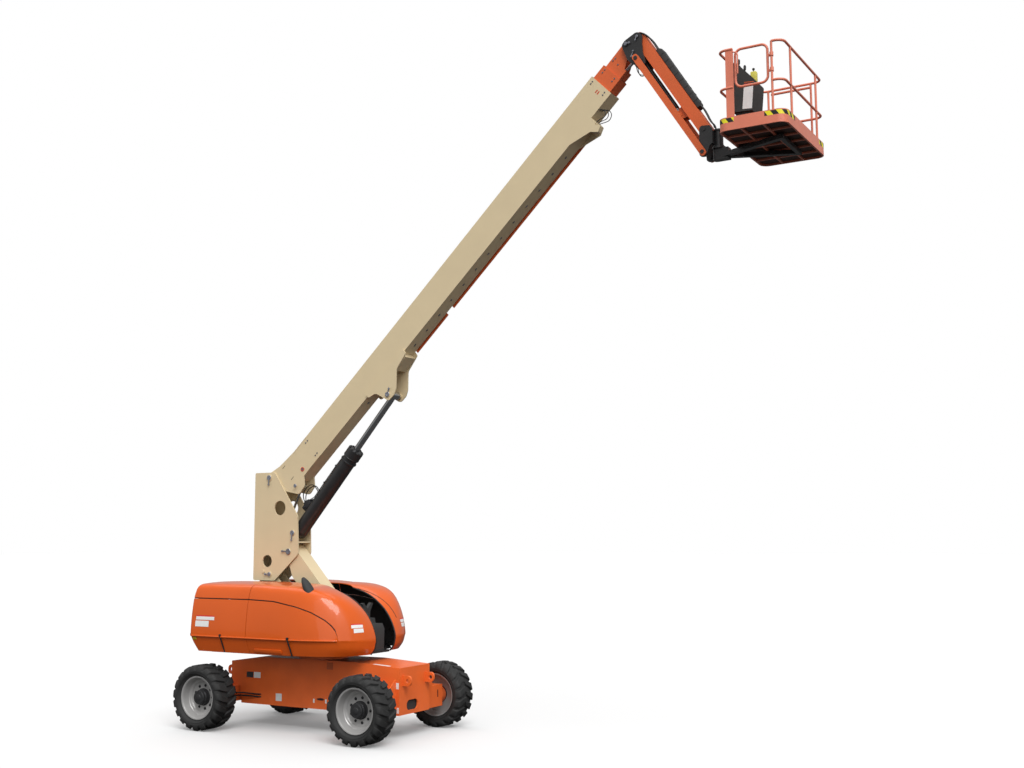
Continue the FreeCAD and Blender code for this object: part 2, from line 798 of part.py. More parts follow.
def extrusion(name, source, direction, start, end):
    """Extrude a sketch along a direction, from one bound offset to another."""
    solid = doc.addObject("Part::Extrusion", name)
    solid.Base = source
    solid.DirMode = "Custom"
    solid.Dir = direction
    solid.Solid = True
    solid.LengthFwd = size(end).value
    solid.LengthRev = -size(start).value
    bind(solid, "LengthFwd", size(end))
    bind(solid, "LengthRev", -size(start))
    return solid


UP = Rotation()
ALONG_Y = Rotation(Vector(1, 0, 0), 90)
ALONG_X = Rotation(Vector(1, 1, 1), 120)


def hood_views(side, wall):
    """The hood's side view, plan and section, each moved inwards by wall; 0 gives the outside."""
    inner, outer = D.hood_inner, hood_outer - wall
    low, top = size(D.hood_low), D.hood_top - wall
    short = D.left_hood_short if side > 0 else size(0)
    if wall.value:
        inner, low = inner - 20, low - 20
    nose = -wall - short
    return (
        ("side", ALONG_Y, Vector(0, -1, 0), outline(
            (-1610 + wall, low), (-1714 + wall, 1430, 160 - wall), (-1655 + wall, top - 15, 90 - wall),
            (-300, top + 15, 900), (560 + nose, top - 130, 700), (1090 + nose, 1890 - wall, 320),
            (1330 + nose, 1500, 260), (1290 + nose, 1270, 120), (1180 + nose, low))),
        ("plan", UP, Vector(0, 0, 1), outline(
            (-1730 + wall, inner * side), (1340 + nose, inner * side), (1325 + nose, 700 * side, 420),
            (880 + nose, outer * side, 420), (-1730 + wall, outer * side, 60 - wall))),
        ("section", ALONG_X, Vector(1, 0, 0), outline(
            (inner * side, low), ((outer - 95) * side, low), (outer * side, 1450, 60 - wall),
            ((outer - 20) * side, 2040, 400), ((outer - 130) * side, top - 40, 120 - wall),
            (inner * side, top + 20))),
    )


def crossed_form(name, side, wall):
    """Cross the three views of a hood into one solid."""
    solids = []
    for view, rotation, direction, loop in hood_views(side, wall):
        sketch = flat_sketch("%s_%s" % (name, view), rotation, loop)
        solids.append(extrusion("%s_%s_solid" % (name, view), sketch, direction, -2600, 2600))
    common = doc.addObject("Part::MultiCommon", name)
    common.Shapes = solids
    return common


def make_hood(name, side):
    """One moulded hood: crossed views hollowed out, then parted along the seam."""
    shell = doc.addObject("Part::Cut", name + "_shell")
    shell.Base = crossed_form(name + "_outside", side, size(0))
    shell.Tool = crossed_form(name + "_inside", side, D.hood_wall)
    seam = flat_sketch(name + "_seam", ALONG_Y, outline(
        (-1800, 2030), (-500, 2030, 1500), (500, 1990, 900), (1450, 1370), (1450, 2400), (-1800, 2400)))
    above = extrusion(name + "_above", seam, Vector(0, -1, 0), -2600, 2600)
    upper = doc.addObject("Part::Common", name + "_upper")
    upper.Base, upper.Tool = shell, above
    lid = doc.addObject("Part::MultiFuse", name + "_lid")
    lid.Shapes = [upper] + hood_hinge_rings(name, side)
    lower = doc.addObject("Part::Cut", name + "_side")
    lower.Base, lower.Tool = shell, above
    for panel in (lid, lower):
        panel.Label = panel.Name
        NODES.append(panel)


def hood_hinge_rings(name, side):
    """The rings under the lid's inner edge, a pair at each hinge pin."""
    eye, ring = D.hood_inner * side, D.hinge_ring
    low, high = hood_hinge_up - ring, D.hood_top - D.hood_wall / 2
    profile = flat_sketch(name + "_ring", ALONG_X, outline(
        (eye - ring, low, ring - 1), (eye + ring, low, ring - 1), (eye + ring, high),
        (eye - ring * 0.4, high), (eye - ring, hood_hinge_up + 10)), circle(
        eye, hood_hinge_up, D.hood_hinge_pin + D.fit))
    rings = []
    for across in (D.hinge_rear, D.hinge_front):
        for end in (1, -1):
            span = span_of(across + 18 * end, across + 55 * end)
            rings.append(extrusion("%s_ring%d" % (name, len(rings)), profile, Vector(1, 0, 0), *span))
    return rings


make_hood("left_hood", 1)
make_hood("right_hood", -1)


# ------------------------------------------------------------------ riser linkage
def make_main_link():
    """The box beam that carries the upright; its underside is open for the riser cylinder."""
    half, wall = link_half, D.link_wall
    link = Piece("main_link", at=(D.main_pin_across, 0, D.main_pin_up), tilt=-D.link_angle)
    far = D.link_length
    link.pad("XZ", -half, half, outline(
        (-D.link_top, D.link_top, 105), (far + D.link_top, D.link_top, 105),
        (far + D.link_top, -D.link_top, 105), (far - 260, -D.link_deep, 60),
        (330, -D.link_deep, 120), (40, -D.link_top, 60), (-D.link_top, -D.link_top, 105)))
    link.pocket("XZ", wall - half, half - wall, outline(
        (-200, D.link_top - wall), (far - 180, D.link_top - wall), (far - 180, -D.link_top),
        (far - 280, wall - D.link_deep), (820, wall - D.link_deep), (820, -400), (-200, -400)))
    for along, reach in ((0, upright_half - D.upright_plate - 1), (far, cheek_inner - 1)):
        for side in (1, -1):
            span = span_of((half - wall) * side, reach * side)
            spool(link, along, 0, D.riser_pin + 30, *span)
        link.pocket("XZ", -300, 300, circle(along, 0, D.riser_pin + D.fit))
    for side in (1, -1):
        spool(link, D.riser_eye_along, -D.riser_eye_below, D.riser_pin, *span_of(
            (D.riser_eye_half + D.run) * side, (half - wall / 2) * side))
    return link


def make_timing_link():
    """Two parallel bars joined by a cross tube, below the main link."""
    half, bar = timing_half, D.timing_bar
    link = Piece("timing_link", at=(D.timing_pin_across, 0, D.timing_pin_up), tilt=-D.link_angle)
    far = D.link_length
    deep = D.timing_deep
    link.pad("XZ", -half, half, outline(
        (-75, deep + 15, 55), (140, deep, 80), (far - 140, deep, 80), (far + 75, deep + 15, 55),
        (far + 75, -deep - 15, 55), (far - 140, -deep, 80), (140, -deep, 80), (-75, -deep - 15, 55)))
    link.pocket("XZ", bar - half, half - bar, outline(
        (-200, -200), (420, -200), (420, 200), (-200, 200)))
    link.pocket("XZ", bar - half, half - bar, outline(
        (480, -200), (far + 200, -200), (far + 200, 200), (480, 200)))
    for along, reach in ((0, upright_half - D.upright_plate - 1), (far, cheek_inner - 1)):
        for side in (1, -1):
            span = span_of((half - bar) * side, reach * side)
            spool(link, along, 0, D.riser_pin + 14, *span)
        link.pocket("XZ", -300, 300, circle(along, 0, D.riser_pin + D.fit))
    return link


def make_upright():
    """Two side plates with a rear web and a cross plate, and the pins that the links turn on."""
    half, plate = upright_half, D.upright_plate
    upright = Piece("upright")
    side = outline((-1351, 4028, 30), (-932, 4028, 90), (-446, 3313, 90), (-424, 2703, 90),
                   (-904, 2278, 30), (-1354, 2278, 30))
    upright.pad("XZ", -half, half, side)
    upright.pocket("XZ", plate - half, half - plate, outline(
        (-1330, 2200), (-1330, 4100), (-300, 4100), (-300, 2906), (-770, 2906), (-770, 2882),
        (-300, 2882), (-300, 2200)))
    for across, up, radius in ((-816, 3446, 118), (-1064, 2590, 98)):
        upright.pocket("XZ", -half - 1, half + 1, circle(across, up, radius))
    pins = ((D.main_pin_across, D.main_pin_up, D.riser_pin),
            (D.timing_pin_across, D.timing_pin_up, D.riser_pin),
            (D.pivot_across, D.pivot_up, D.pivot_pin),
            (D.lift_base_across, D.lift_base_up, D.lift_pin),
            (D.level_base_across, D.level_base_up, D.level_pin))
    for across, up, radius in pins:
        spool(upright, across, up, radius, -half - 12, half + 12)
    return upright


class Cylinder:
    """A hydraulic cylinder between two pins: a barrel with a base eye, and a rod with its eye.

    The barrel turns on the base pin. The rod's eye lies at the far pin at rest and is open:
    it carries a short cross pin of its own and isn't joined to what it moves.
    """

    def __init__(self, name, base, eye, barrel, rod, pin, length, retract, eye_half,
                 gland=None, eye_radius=None):
        run, rise = size(eye[0]) - size(base[0]), size(eye[1]) - size(base[1])
        span = distance(run, rise)
        tilt = angle_of(rise, run)
        at = (base[0], 0, base[1])
        self.barrel = Piece(name + "_barrel", at=at, tilt=tilt)
        self.rod = Piece(name + "_rod", at=at, tilt=tilt)
        gland = gland or barrel
        eye_radius = eye_radius or pin * 1.7
        bore = barrel * 0.8
        tube = self.barrel
        tube.pad("YZ", pin * 1.2, length, circle(0, 0, barrel))
        if gland is not barrel:
            tube.pad("YZ", length - 130, length, circle(0, 0, gland))
        spool(tube, 0, 0, pin * 1.9, -eye_half, eye_half)
        tube.pocket("YZ", pin * 2.4, length - 60, circle(0, 0, bore))
        tube.pocket("YZ", length - 61, length + 1, circle(0, 0, rod + D.fit))
        tube.pocket("XZ", -2 * eye_half, 2 * eye_half, circle(0, 0, pin + D.fit))
        shaft = self.rod
        shaft.pad("YZ", pin * 2.4 + retract + D.run, span, circle(0, 0, rod))
        spool(shaft, span, 0, eye_radius, -eye_half, eye_half)


def on_link(along, across):
    """Return the place in the XZ plane of a point given along and square to the main link."""
    along, across = size(along), size(across)
    return (D.main_pin_across + along * cosine(D.link_angle) + across * sine(D.link_angle),
            D.main_pin_up - along * sine(D.link_angle) + across * cosine(D.link_angle))


Cylinder("riser_cylinder", timing_low, on_link(D.riser_eye_along, -D.riser_eye_below), D.riser_barrel,
         D.riser_rod, D.riser_pin, D.riser_barrel_length, D.riser_retract, D.riser_eye_half)


make_main_link()
make_timing_link()
make_upright()

# ------------------------------------------------------------------ boom
boom_cos, boom_sin = cosine(D.boom_angle), sine(D.boom_angle)
mid_length = D.base_length + D.mid_shows
mid_half = D.base_half - D.section_inset
mid_top, mid_low = D.base_top + D.mid_drop, D.base_low - D.mid_rise
fly_length = mid_length + D.fly_shows
fly_half = mid_half - D.section_inset
fly_top, fly_low = mid_top + D.fly_drop, mid_low - D.fly_rise
nose_along = fly_length + D.nose_reach


def on_boom(along, across):
    """Return the place in the XZ plane of a point given along and square to the boom."""
    along, across = size(along), size(across)
    return (D.pivot_across + along * boom_cos - across * boom_sin,
            D.pivot_up + along * boom_sin + across * boom_cos)


def boom_tube(label, start, end, half, top, low, wall, nose_half, nose_top, nose_low):
    """A boom section: a box tube whose front end is lined down to the next section's size."""
    tube = Piece(label, at=(D.pivot_across, 0, D.pivot_up), tilt=D.boom_angle)
    tube.pad("YZ", start, end, box_loop(-half, -low, half, -top))
    tube.pocket("YZ", start - 1, end - D.pad_length, box_loop(
        wall - half, wall - low, half - wall, -top - wall))
    tube.pocket("YZ", end - D.pad_length - 1, end + 1, box_loop(
        -nose_half - D.fit, -nose_low - D.fit, nose_half + D.fit, -nose_top + D.fit))
    return tube


def make_boom_base():
    """The base section with its heel plates, pivot tube and the lift cylinder's lugs."""
    half = D.base_half
    tube = boom_tube("boom_base", D.tube_start - 150, D.base_length, half, D.base_top, D.base_low,
                     D.base_wall, mid_half, mid_top, mid_low)
    heel = outline((-105, 105, 100), (260, 0, 120), (640, -40), (640, -D.base_low),
                   (500, -D.base_low, 40), (405, -600, 70), (240, -625, 80), (60, -368, 120), (-105, -105, 100))
    for side in (1, -1):
        span = span_of((half - 25) * side, half * side)
        tube.pad("XZ", span[0], span[1], heel)
        lug = span_of(half * side, (half + 30) * side)
        tube.pad("XZ", lug[0], lug[1], outline(
            (2265, -446), (3240, -446), (3235, -536, 30), (2940, -590, 120), (2730, -800, 60),
            (2640, -845, 50), (2500, -840, 60), (2415, -570, 90), (2270, -520, 30)))
        bracket = span_of((half - 10) * side, half * side)
        tube.pad("XZ", bracket[0], bracket[1], outline(
            (7277, -D.base_low + 6), (7790, -D.base_low + 6), (7774, -585, 12), (7667, -625, 12)))
    tube.pocket("XZ", -half - 10, half + 10, box_loop(2250, -900, 3300, -D.base_low - 1))
    spool(tube, 0, 0, D.pivot_pin + 28, -half, half)
    tube.pocket("XZ", -300, 300, circle(0, 0, D.pivot_pin + D.fit))
    tube.pad("XZ", -half, half, box_loop(2900, -560, 3180, -D.base_low))
    tube.pad("XZ", -half, half, outline(
        (7764, -D.base_low + 4), (7790, -D.base_low + 4), (7774, -585), (7748, -585)))
    tube.pad("XZ", -half, -40, outline((7751, -580), (7801, -677, 8), (7703, -712, 8), (7634, -614)))
    for side in (1, -1):
        spool(tube, D.lift_eye_along, -D.lift_eye_below, D.lift_pin,
              *span_of((D.lift_eye_half + D.run) * side, (half + 30 + D.pin_head) * side))
        spool(tube, D.level_eye_along, -D.level_eye_below, D.level_pin,
              *span_of((D.level_eye_half + D.run) * side, half * side))
    return tube


def make_boom_mid():
    tube = boom_tube("boom_mid", D.mid_start, mid_length, mid_half, mid_top, mid_low,
                     D.mid_wall, fly_half, fly_top, fly_low)
    gap = D.base_half - D.base_wall - D.fit
    tube.pad("YZ", D.mid_start, D.mid_start + 120, box_loop(
        -gap, -mid_low, gap, -mid_top), box_loop(
        -mid_half + 1, -mid_low + 1, mid_half - 1, -mid_top - 1))
    return tube


def make_boom_fly():
    """The fly section: box tube, then two cheeks that carry the knuckle's pin."""
    half = fly_half
    tube = Piece("boom_fly", at=(D.pivot_across, 0, D.pivot_up), tilt=D.boom_angle)
    tube.pad("YZ", D.fly_start, fly_length, box_loop(-half, -fly_low, half, -fly_top))
    tube.pocket("YZ", D.fly_start - 1, fly_length + 1, box_loop(
        D.fly_wall - half, D.fly_wall - fly_low, half - D.fly_wall, -fly_top - D.fly_wall))
    nose = outline(
        (fly_length - 100, -fly_top), (nose_along, -D.nose_below + 70, 60),
        (nose_along + 70, -D.nose_below, 60), (nose_along, -D.nose_below - 70, 60),
        (fly_length + 40, -fly_low + 60, 60), (fly_length - 100, -fly_low))
    for side in (1, -1):
        span = span_of((half - 20) * side, half * side)
        tube.pad("XZ", span[0], span[1], nose)
    spool(tube, nose_along, -D.nose_below, D.nose_pin + 22, -half, half)
    spool(tube, fly_length - D.slave_inset, D.slave_above - fly_low, D.level_pin, -half, half)
    tube.pocket("XZ", -300, 300, circle(nose_along, -D.nose_below, D.nose_pin + D.fit))
    gap = mid_half - D.mid_wall - D.fit
    tube.pad("YZ", D.fly_start, D.fly_start + 120, box_loop(
        -gap, -fly_low, gap, -fly_top), box_loop(
        -half + 1, -fly_low + 1, half - 1, -fly_top - 1))
    return tube


make_boom_base()
make_boom_mid()
make_boom_fly()
lift_eye = on_boom(D.lift_eye_along, -D.lift_eye_below)
Cylinder("lift_cylinder", (D.lift_base_across, D.lift_base_up), lift_eye, D.lift_barrel, D.lift_rod,
         D.lift_pin, D.lift_barrel_length, D.lift_retract, D.lift_eye_half, gland=D.lift_gland,
         eye_radius=D.lift_eye_radius)
level_eye = on_boom(D.level_eye_along, -D.level_eye_below)
Cylinder("level_cylinder", (D.level_base_across, D.level_base_up), level_eye, D.level_barrel,
         D.level_rod, D.level_pin, D.level_barrel_length, D.level_retract, D.level_eye_half)
nose = on_boom(nose_along, -D.nose_below)
slave_base = on_boom(fly_length - D.slave_inset, D.slave_above - fly_low)
upper = (nose[0] - D.nose_rest_across, nose[1] - D.nose_rest_up)
knuckle_half = fly_half + D.knuckle_gap + D.knuckle_plate
jib_half = knuckle_half - D.knuckle_plate - D.jib_play


def make_power_track():
    """The slim rail along the base section's lower left edge, in two lengths."""
    track = Piece("hose_trough", at=(D.pivot_across, 0, D.pivot_up), tilt=D.boom_angle)
    inner = D.base_half + D.fit
    outer, low, high, wall = inner + 42, -500, -424, 8
    for start, end in ((3260, 4060), (4200, 7600)):
        track.pad("YZ", start, end, outline(
            (inner, high), (outer, high), (outer, low), (outer - wall, low),
            (outer - wall, high - wall), (inner, high - wall)))
    return track


make_power_track()


# ------------------------------------------------------------------ knuckle, jib and bracket
def make_knuckle_casting():
    """The black casting at the fly's nose, with the pins of the fly, jib and its cylinder."""
    half, plate = knuckle_half, D.knuckle_plate
    knuckle = Piece("jib_knuckle", at=(upper[0], 0, upper[1]))
    cheek = outline(
        (5385, 10000, 60), (5440, 10060, 40), (5632, 10160, 70), (5715, 10090, 60), (5705, 9990, 80),
        (5716, 9830, 80), (5770, 9640, 45), (5640, 9640, 45), (5540, 9700, 50), (5480, 9760, 60))
    for side in (1, -1):
        span = span_of((half - plate) * side, half * side)
        knuckle.pad("XZ", span[0], span[1], cheek)
    head = half + D.pin_head
    for across, up, radius in ((D.nose_rest_across, D.nose_rest_up, D.nose_pin),
                               (D.jib_pin_across, D.jib_pin_up, D.jib_pin),
                               (D.jib_base_across, D.jib_base_up, D.jib_pin)):
        spool(knuckle, across, up, radius, -head, head)
    for side in (1, -1):
        stub = span_of((jib_half + D.run) * side, (head + D.run + D.jib_bar + D.pin_head) * side)
        spool(knuckle, D.jib_link_pin_across, D.jib_link_pin_up, D.jib_pin, *stub)
        spool(knuckle, D.slave_pin_across, D.slave_pin_up, D.level_pin,
              *span_of((fly_half + D.run) * side, (half - plate / 2) * side))
    return knuckle


def raised(across, up):
    """Return a place on the knuckle, moved with the nose pin."""
    return across + upper[0], up + upper[1]


jib_run, jib_drop = D.jib_length * cosine(D.jib_angle), D.jib_length * sine(D.jib_angle)
jib_near = raised(D.jib_pin_across, D.jib_pin_up)
jib_link_near = raised(D.jib_link_pin_across, D.jib_link_pin_up)
jib_far = (jib_near[0] + jib_run, jib_near[1] - jib_drop)
outer = (jib_far[0] - D.jib_rest_across, jib_far[1] - D.jib_rest_up)


def on_jib(along, across):
    along, across = size(along), size(across)
    return (jib_near[0] + along * cosine(D.jib_angle) + across * sine(D.jib_angle),
            jib_near[1] - along * sine(D.jib_angle) + across * cosine(D.jib_angle))


def make_jib_beam():
    half, wall = jib_half, D.jib_wall
    beam = Piece("jib_beam", at=(jib_near[0], 0, jib_near[1]), tilt=-D.jib_angle)
    far = D.jib_length
    beam.pad("XZ", -half, half, outline(
        (-70, D.jib_above, 66), (far + 70, D.jib_above, 66), (far + 70, -D.jib_below, 66),
        (-70, -D.jib_below, 66)))
    beam.pocket("XZ", wall - half, half - wall, box_loop(
        120, wall - D.jib_below, far - 120, D.jib_above - wall))
    lug = outline((1280, -70), (1480, -70), (1430, -190, 45), (1326, -190, 45))
    for side in (1, -1):
        beam.pad("XZ", *span_of(46 * side, 66 * side), lug)
        spool(beam, D.jib_eye_along, -D.jib_eye_below, D.jib_pin, *span_of(65 * side, 80 * side))
    for along in (0, far):
        beam.pocket("XZ", -300, 300, circle(along, 0, D.jib_pin + D.fit))
    return beam


def make_jib_link():
    """The two lower bars of the jib's parallelogram, one outside each cheek."""
    inner = knuckle_half + D.pin_head + D.run
    link = Piece("jib_link", at=(jib_link_near[0], 0, jib_link_near[1]), tilt=-D.jib_angle)
    far, deep = D.jib_length, D.jib_link_deep
    bar = outline((-60, deep, 44), (far + 60, deep, 44), (far + 60, -deep, 44), (-60, -deep, 44))
    for side in (1, -1):
        span = span_of(inner * side, (inner + D.jib_bar) * side)
        link.pad("XZ", span[0], span[1], bar)
        for along in (0, far):
            link.pocket("XZ", span[0] - 1, span[1] + 1, circle(along, 0, D.jib_pin + D.fit))
    return link


def make_bracket():
    """The black bracket at the jib's end, with the rotator's housing bored through it."""
    half, plate = knuckle_half, D.knuckle_plate
    head = half + D.pin_head
    bracket = Piece("platform_bracket", at=(outer[0], 0, outer[1]))
    link_pin = (D.jib_rest_across + D.jib_link_pin_across - D.jib_pin_across,
                D.jib_rest_up + D.jib_link_pin_up - D.jib_pin_up)
    cheek = outline(
        (6545, 8600, 45), (6690, 8585, 30), (6730, 8540), (6730, 8330), (6690, 8300), (6640, 8150, 45),
        (6540, 8160, 45), (6535, 8300))
    for side in (1, -1):
        span = span_of((half - plate) * side, half * side)
        bracket.pad("XZ", span[0], span[1], cheek)
        stub = span_of((jib_half + D.run) * side, (head + D.run + D.jib_bar + D.pin_head) * side)
        spool(bracket, link_pin[0], link_pin[1], D.jib_pin, *stub)
    spool(bracket, D.jib_rest_across, D.jib_rest_up, D.jib_pin, -head, head)
    bracket.pad("XZ", -half, half, box_loop(6706, 8328, 6730, 8512))
    bracket.pad("XY", D.rotator_low + 20, D.rotator_high - 20,
                circle(D.rotator_across, 0, D.rotator_radius - 10))
    bracket.pocket("XY", D.rotator_low, D.rotator_high, circle(D.rotator_across, 0, 30 + D.fit))
    return bracket


def make_rotator():
    rotor = Piece("platform_rotator", at=(D.rotator_across + outer[0], 0, outer[1]))
    low, high = D.rotator_low, D.rotator_high
    rotor.pad("XY", low - 10, high + 10, circle(0, 0, 30))
    rotor.pad("XY", high - 20 + D.run, high + 10, circle(0, 0, D.rotator_radius))
    rotor.pad("XY", low - 10, low + 20 - D.run, circle(0, 0, D.rotator_radius))
    return rotor


make_knuckle_casting()
Cylinder("slave_cylinder", slave_base, raised(D.slave_pin_across, D.slave_pin_up), D.level_barrel,
         D.level_rod, D.level_pin, D.slave_barrel_length, D.slave_retract, D.slave_eye_half,
         eye_radius=D.level_pin * 1.45)
make_jib_beam()
make_jib_link()
jib_eye = on_jib(D.jib_eye_along, -D.jib_eye_below)
Cylinder("jib_cylinder", raised(D.jib_base_across, D.jib_base_up), jib_eye, D.jib_barrel, D.jib_rod,
         D.jib_pin, D.jib_barrel_length, D.jib_retract, size(40), eye_radius=D.jib_eye_radius)
make_bracket()
make_rotator()


# ------------------------------------------------------------------ platform
def make_support():
    """The black frame under the floor, hung from the rotator's lower flange."""
    top = D.deck_low - D.fit
    seat = D.rotator_low - 10 - D.fit
    support = Piece("platform_support", at=(D.rotator_across + outer[0], 0, outer[1]))
    support.pad("XY", seat - 25, seat, circle(0, 0, 95))
    support.pad("XY", top - 90, seat - 24, outline(
        (-80, -60, 50), (150, -60), (150, 60), (-80, 60, 50)))
    for side in (1, -1):
        support.pad("XY", top - 60, top, outline(
            (60, -20 * side), (60, 55 * side), (975, 415 * side), (1030, 415 * side),
            (1030, 350 * side), (180, 20 * side)))
    support.pad("XY", top - 60, top, box_loop(975, -360, 1030, 360))
    return support


def rounded_deck(inset):
    """The deck's plan, moved inwards by inset."""
    back, front = D.deck_rear_edge + inset, D.deck_front_edge - inset
    half, bend = D.deck_half - inset, D.deck_corner - inset
    return outline((back, -half, bend), (front, -half, bend), (front, half, bend), (back, half, bend))


def make_deck():
    """The pressed floor with its toe boards and the tube grid below."""
    deck = Piece("platform_deck", at=(outer[0], 0, outer[1]))
    floor_top = D.floor_low + D.floor_thick
    deck.pad("XY", D.deck_low, D.toe_top, rounded_deck(size(0)))
    deck.pocket("XY", floor_top, D.toe_top + 1, rounded_deck(D.toe_plate))
    rows, columns, rib = 6, 3, 26
    length = (D.deck_front_edge - D.deck_rear_edge - rib) / columns
    width = (D.deck_half * 2 - rib) / rows
    for column in range(columns):
        for row in range(rows):
            left = D.deck_rear_edge + rib + length * column
            low = -D.deck_half + rib + width * row
            corner = 100 if (column in (0, 2) and row in (0, 5)) else 12
            deck.pocket("XY", D.deck_low - 1, D.floor_low, outline(
                (left, low, corner if column == 0 and row == 0 else 12),
                (left + length - rib, low, corner if column == 2 and row == 0 else 12),
                (left + length - rib, low + width - rib, corner if column == 2 and row == 5 else 12),
                (left, low + width - rib, corner if column == 0 and row == 5 else 12)))
    return deck


def tube(points, radius, bend, closed=False):
    """Sweep a round tube along straight runs joined by tangent arcs."""
    flat = [Vector(*point) for point in points]
    edges, start = [], flat[0]
    count = len(flat)
    inner = range(count) if closed else range(1, count - 1)
    if closed:
        start = (flat[0] + flat[-1]) * 0.5
    first = start
    for i in inner:
        back = (flat[i - 1] - flat[i]).normalize()
        ahead = (flat[(i + 1) % count] - flat[i]).normalize()
        half_turn = back.getAngle(ahead) / 2
        reach = bend / math.tan(half_turn)
        arrive, leave = flat[i] + back * reach, flat[i] + ahead * reach
        inward = (back + ahead).normalize()
        middle = flat[i] + inward * (bend / math.sin(half_turn) - bend)
        edges.append(Part.LineSegment(start, arrive).toShape())
        edges.append(Part.Arc(arrive, middle, leave).toShape())
        start = leave
    edges.append(Part.LineSegment(start, first if closed else flat[-1]).toShape())
    path = Part.Wire(edges)
    run = (edges[0].Vertexes[1].Point - edges[0].Vertexes[0].Point).normalize()
    ring = Part.Wire(Part.makeCircle(radius, edges[0].Vertexes[0].Point, run))
    return path.makePipeShell([ring], True, False)


def feature(label, shape):
    item = doc.addObject("Part::Feature", label)
    item.Shape = shape
    item.Placement = Placement(Vector(outer[0].value, 0, outer[1].value), Rotation())
    item.Label = label
    NODES.append(item)
    return item


def fused(shapes):
    whole = shapes[0].multiFuse(shapes[1:])
    return whole.removeSplitter()


rail_inset = D.toe_plate + D.rail_tube + D.fit
post_near_left = (D.deck_rear_edge + 130).value
post_near_right = (D.deck_front_edge - 175).value
column_width = 105
gate_inset = 40


def make_rails():
    """Top and mid rails of bent tube round the platform, open at the gate, on straight posts."""
    radius, bend = D.rail_tube.value, D.rail_bend.value
    back = (D.deck_rear_edge + rail_inset).value
    front = (D.deck_front_edge - rail_inset).value
    half = (D.deck_half - rail_inset).value
    floor = (D.floor_low + D.floor_thick).value
    top, mid = D.rail_top.value, D.rail_mid.value
    pieces = []
    for height in (top, mid):
        pieces.append(tube([
            (post_near_right, -half, height), (front, -half, height), (front, half, height),
            (back, half, height), (back, -half, height), (post_near_left + 90, -half, height)],
            radius, bend))
    pieces.append(tube([(back + 150, half, top - 55), (front - 150, half, top - 55)], radius, bend))
    pieces.append(Part.makeBox(column_width, 12, top - floor,
                               Vector(post_near_left - 5, -half - 6, floor)))
    arch = post_near_left - 5 + column_width
    pieces.append(tube([(arch - 12, -half, top - 40), (arch + 62, -half, top - 60),
                        (arch + 58, -half, mid + 175)], 9, 50.0))
    foot = [Vector(post_near_right + 10, -half - 4, floor), Vector(post_near_right - 57, -half - 4, floor),
            Vector(post_near_right - 18, -half - 4, floor + 150)]
    pieces.append(Part.Face(Part.makePolygon(foot + foot[:1])).extrude(Vector(0, 8, 0)))
    posts = [(post_near_right, -half), (front, -570), (front, 570), (post_near_right, half),
             (post_near_left, half), (back, 400), (back, -400)]
    for across, deep in posts:
        pieces.append(tube([(across, deep, floor), (across, deep, top)], D.post_tube.value, bend))
    return feature("platform_rails", fused(pieces))


def make_gate():
    """The looped gate that swings in on the near post."""
    radius = D.rail_tube.value
    half = (D.deck_half - rail_inset).value - gate_inset
    post = (D.deck_half - rail_inset).value
    top, low = D.rail_top.value - 5, D.rail_mid.value + 5
    left, right = post_near_left + 115, post_near_right - 65
    pieces = [tube([(left, -half, low), (right, -half, low), (right, -half, top), (left, -half, top)],
                   radius, 85.0, closed=True)]
    sleeve = radius + 8
    for height in (9118, 8915):
        ring = Part.makeCylinder(sleeve, 50, Vector(post_near_right, -post, height - 25))
        link = Part.makeBox(72, 12, 34, Vector(right - 5, -half - 12, height - 17))
        hook = Part.makeBox(14, 40, 34, Vector(post_near_right - 7, -post + radius + 2, height - 17))
        pieces += [ring, link, hook]
    whole = fused(pieces)
    bore = Part.makeCylinder((D.post_tube + D.fit).value, 600, Vector(post_near_right, -post, 8700))
    return feature("platform_gate", whole.cut(bore))


def make_control_console():
    """The black operator's console with its sloped top, on two feet that stand on the floor."""
    floor = D.floor_low + D.floor_thick
    console = Piece("control_console", at=(outer[0], 0, outer[1]))
    console.pad("XZ", -540, -120, outline(
        (7162, 8560, 15), (7430, 8545, 15), (7470, 8970, 40), (7240, 9225, 25), (7140, 9258, 12)))
    for deep in (-500, -200):
        console.pad("XZ", deep, deep + 40, box_loop(7200, floor, 7390, 8600))
    return console


make_support()
make_deck()
make_rails()
make_gate()
make_control_console()

# ------------------------------------------------------------------ checking and writing
doc.recompute()
faults = []
for item in doc.Objects:
    if "Invalid" in item.State or "Error" in item.State:
        faults.append("%s: %s" % (item.Name, item.State))
for node in NODES:
    shape = node.Shape
    if shape.isNull() or not shape.isValid():
        faults.append("%s: shape" % node.Label)
if faults:
    raise RuntimeError("failed objects: " + "; ".join(faults))
for node in NODES:
    node.Shape.exportStep("parts/%s.step" % node.Label)
print("wrote %d parts" % len(NODES))
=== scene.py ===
"""The looks of a telescopic boom lift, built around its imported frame.

Each sub-assembly is a class that holds its own sizes in metres, builds its meshes and gives
them their finish. +X points along the boom, +Z up, and the ground is at Z = 0.
"""

from __future__ import annotations

import logging
import math
from dataclasses import dataclass
from enum import Enum
from typing import Any, Sequence

import bmesh
import bpy
from mathutils import Matrix, Vector

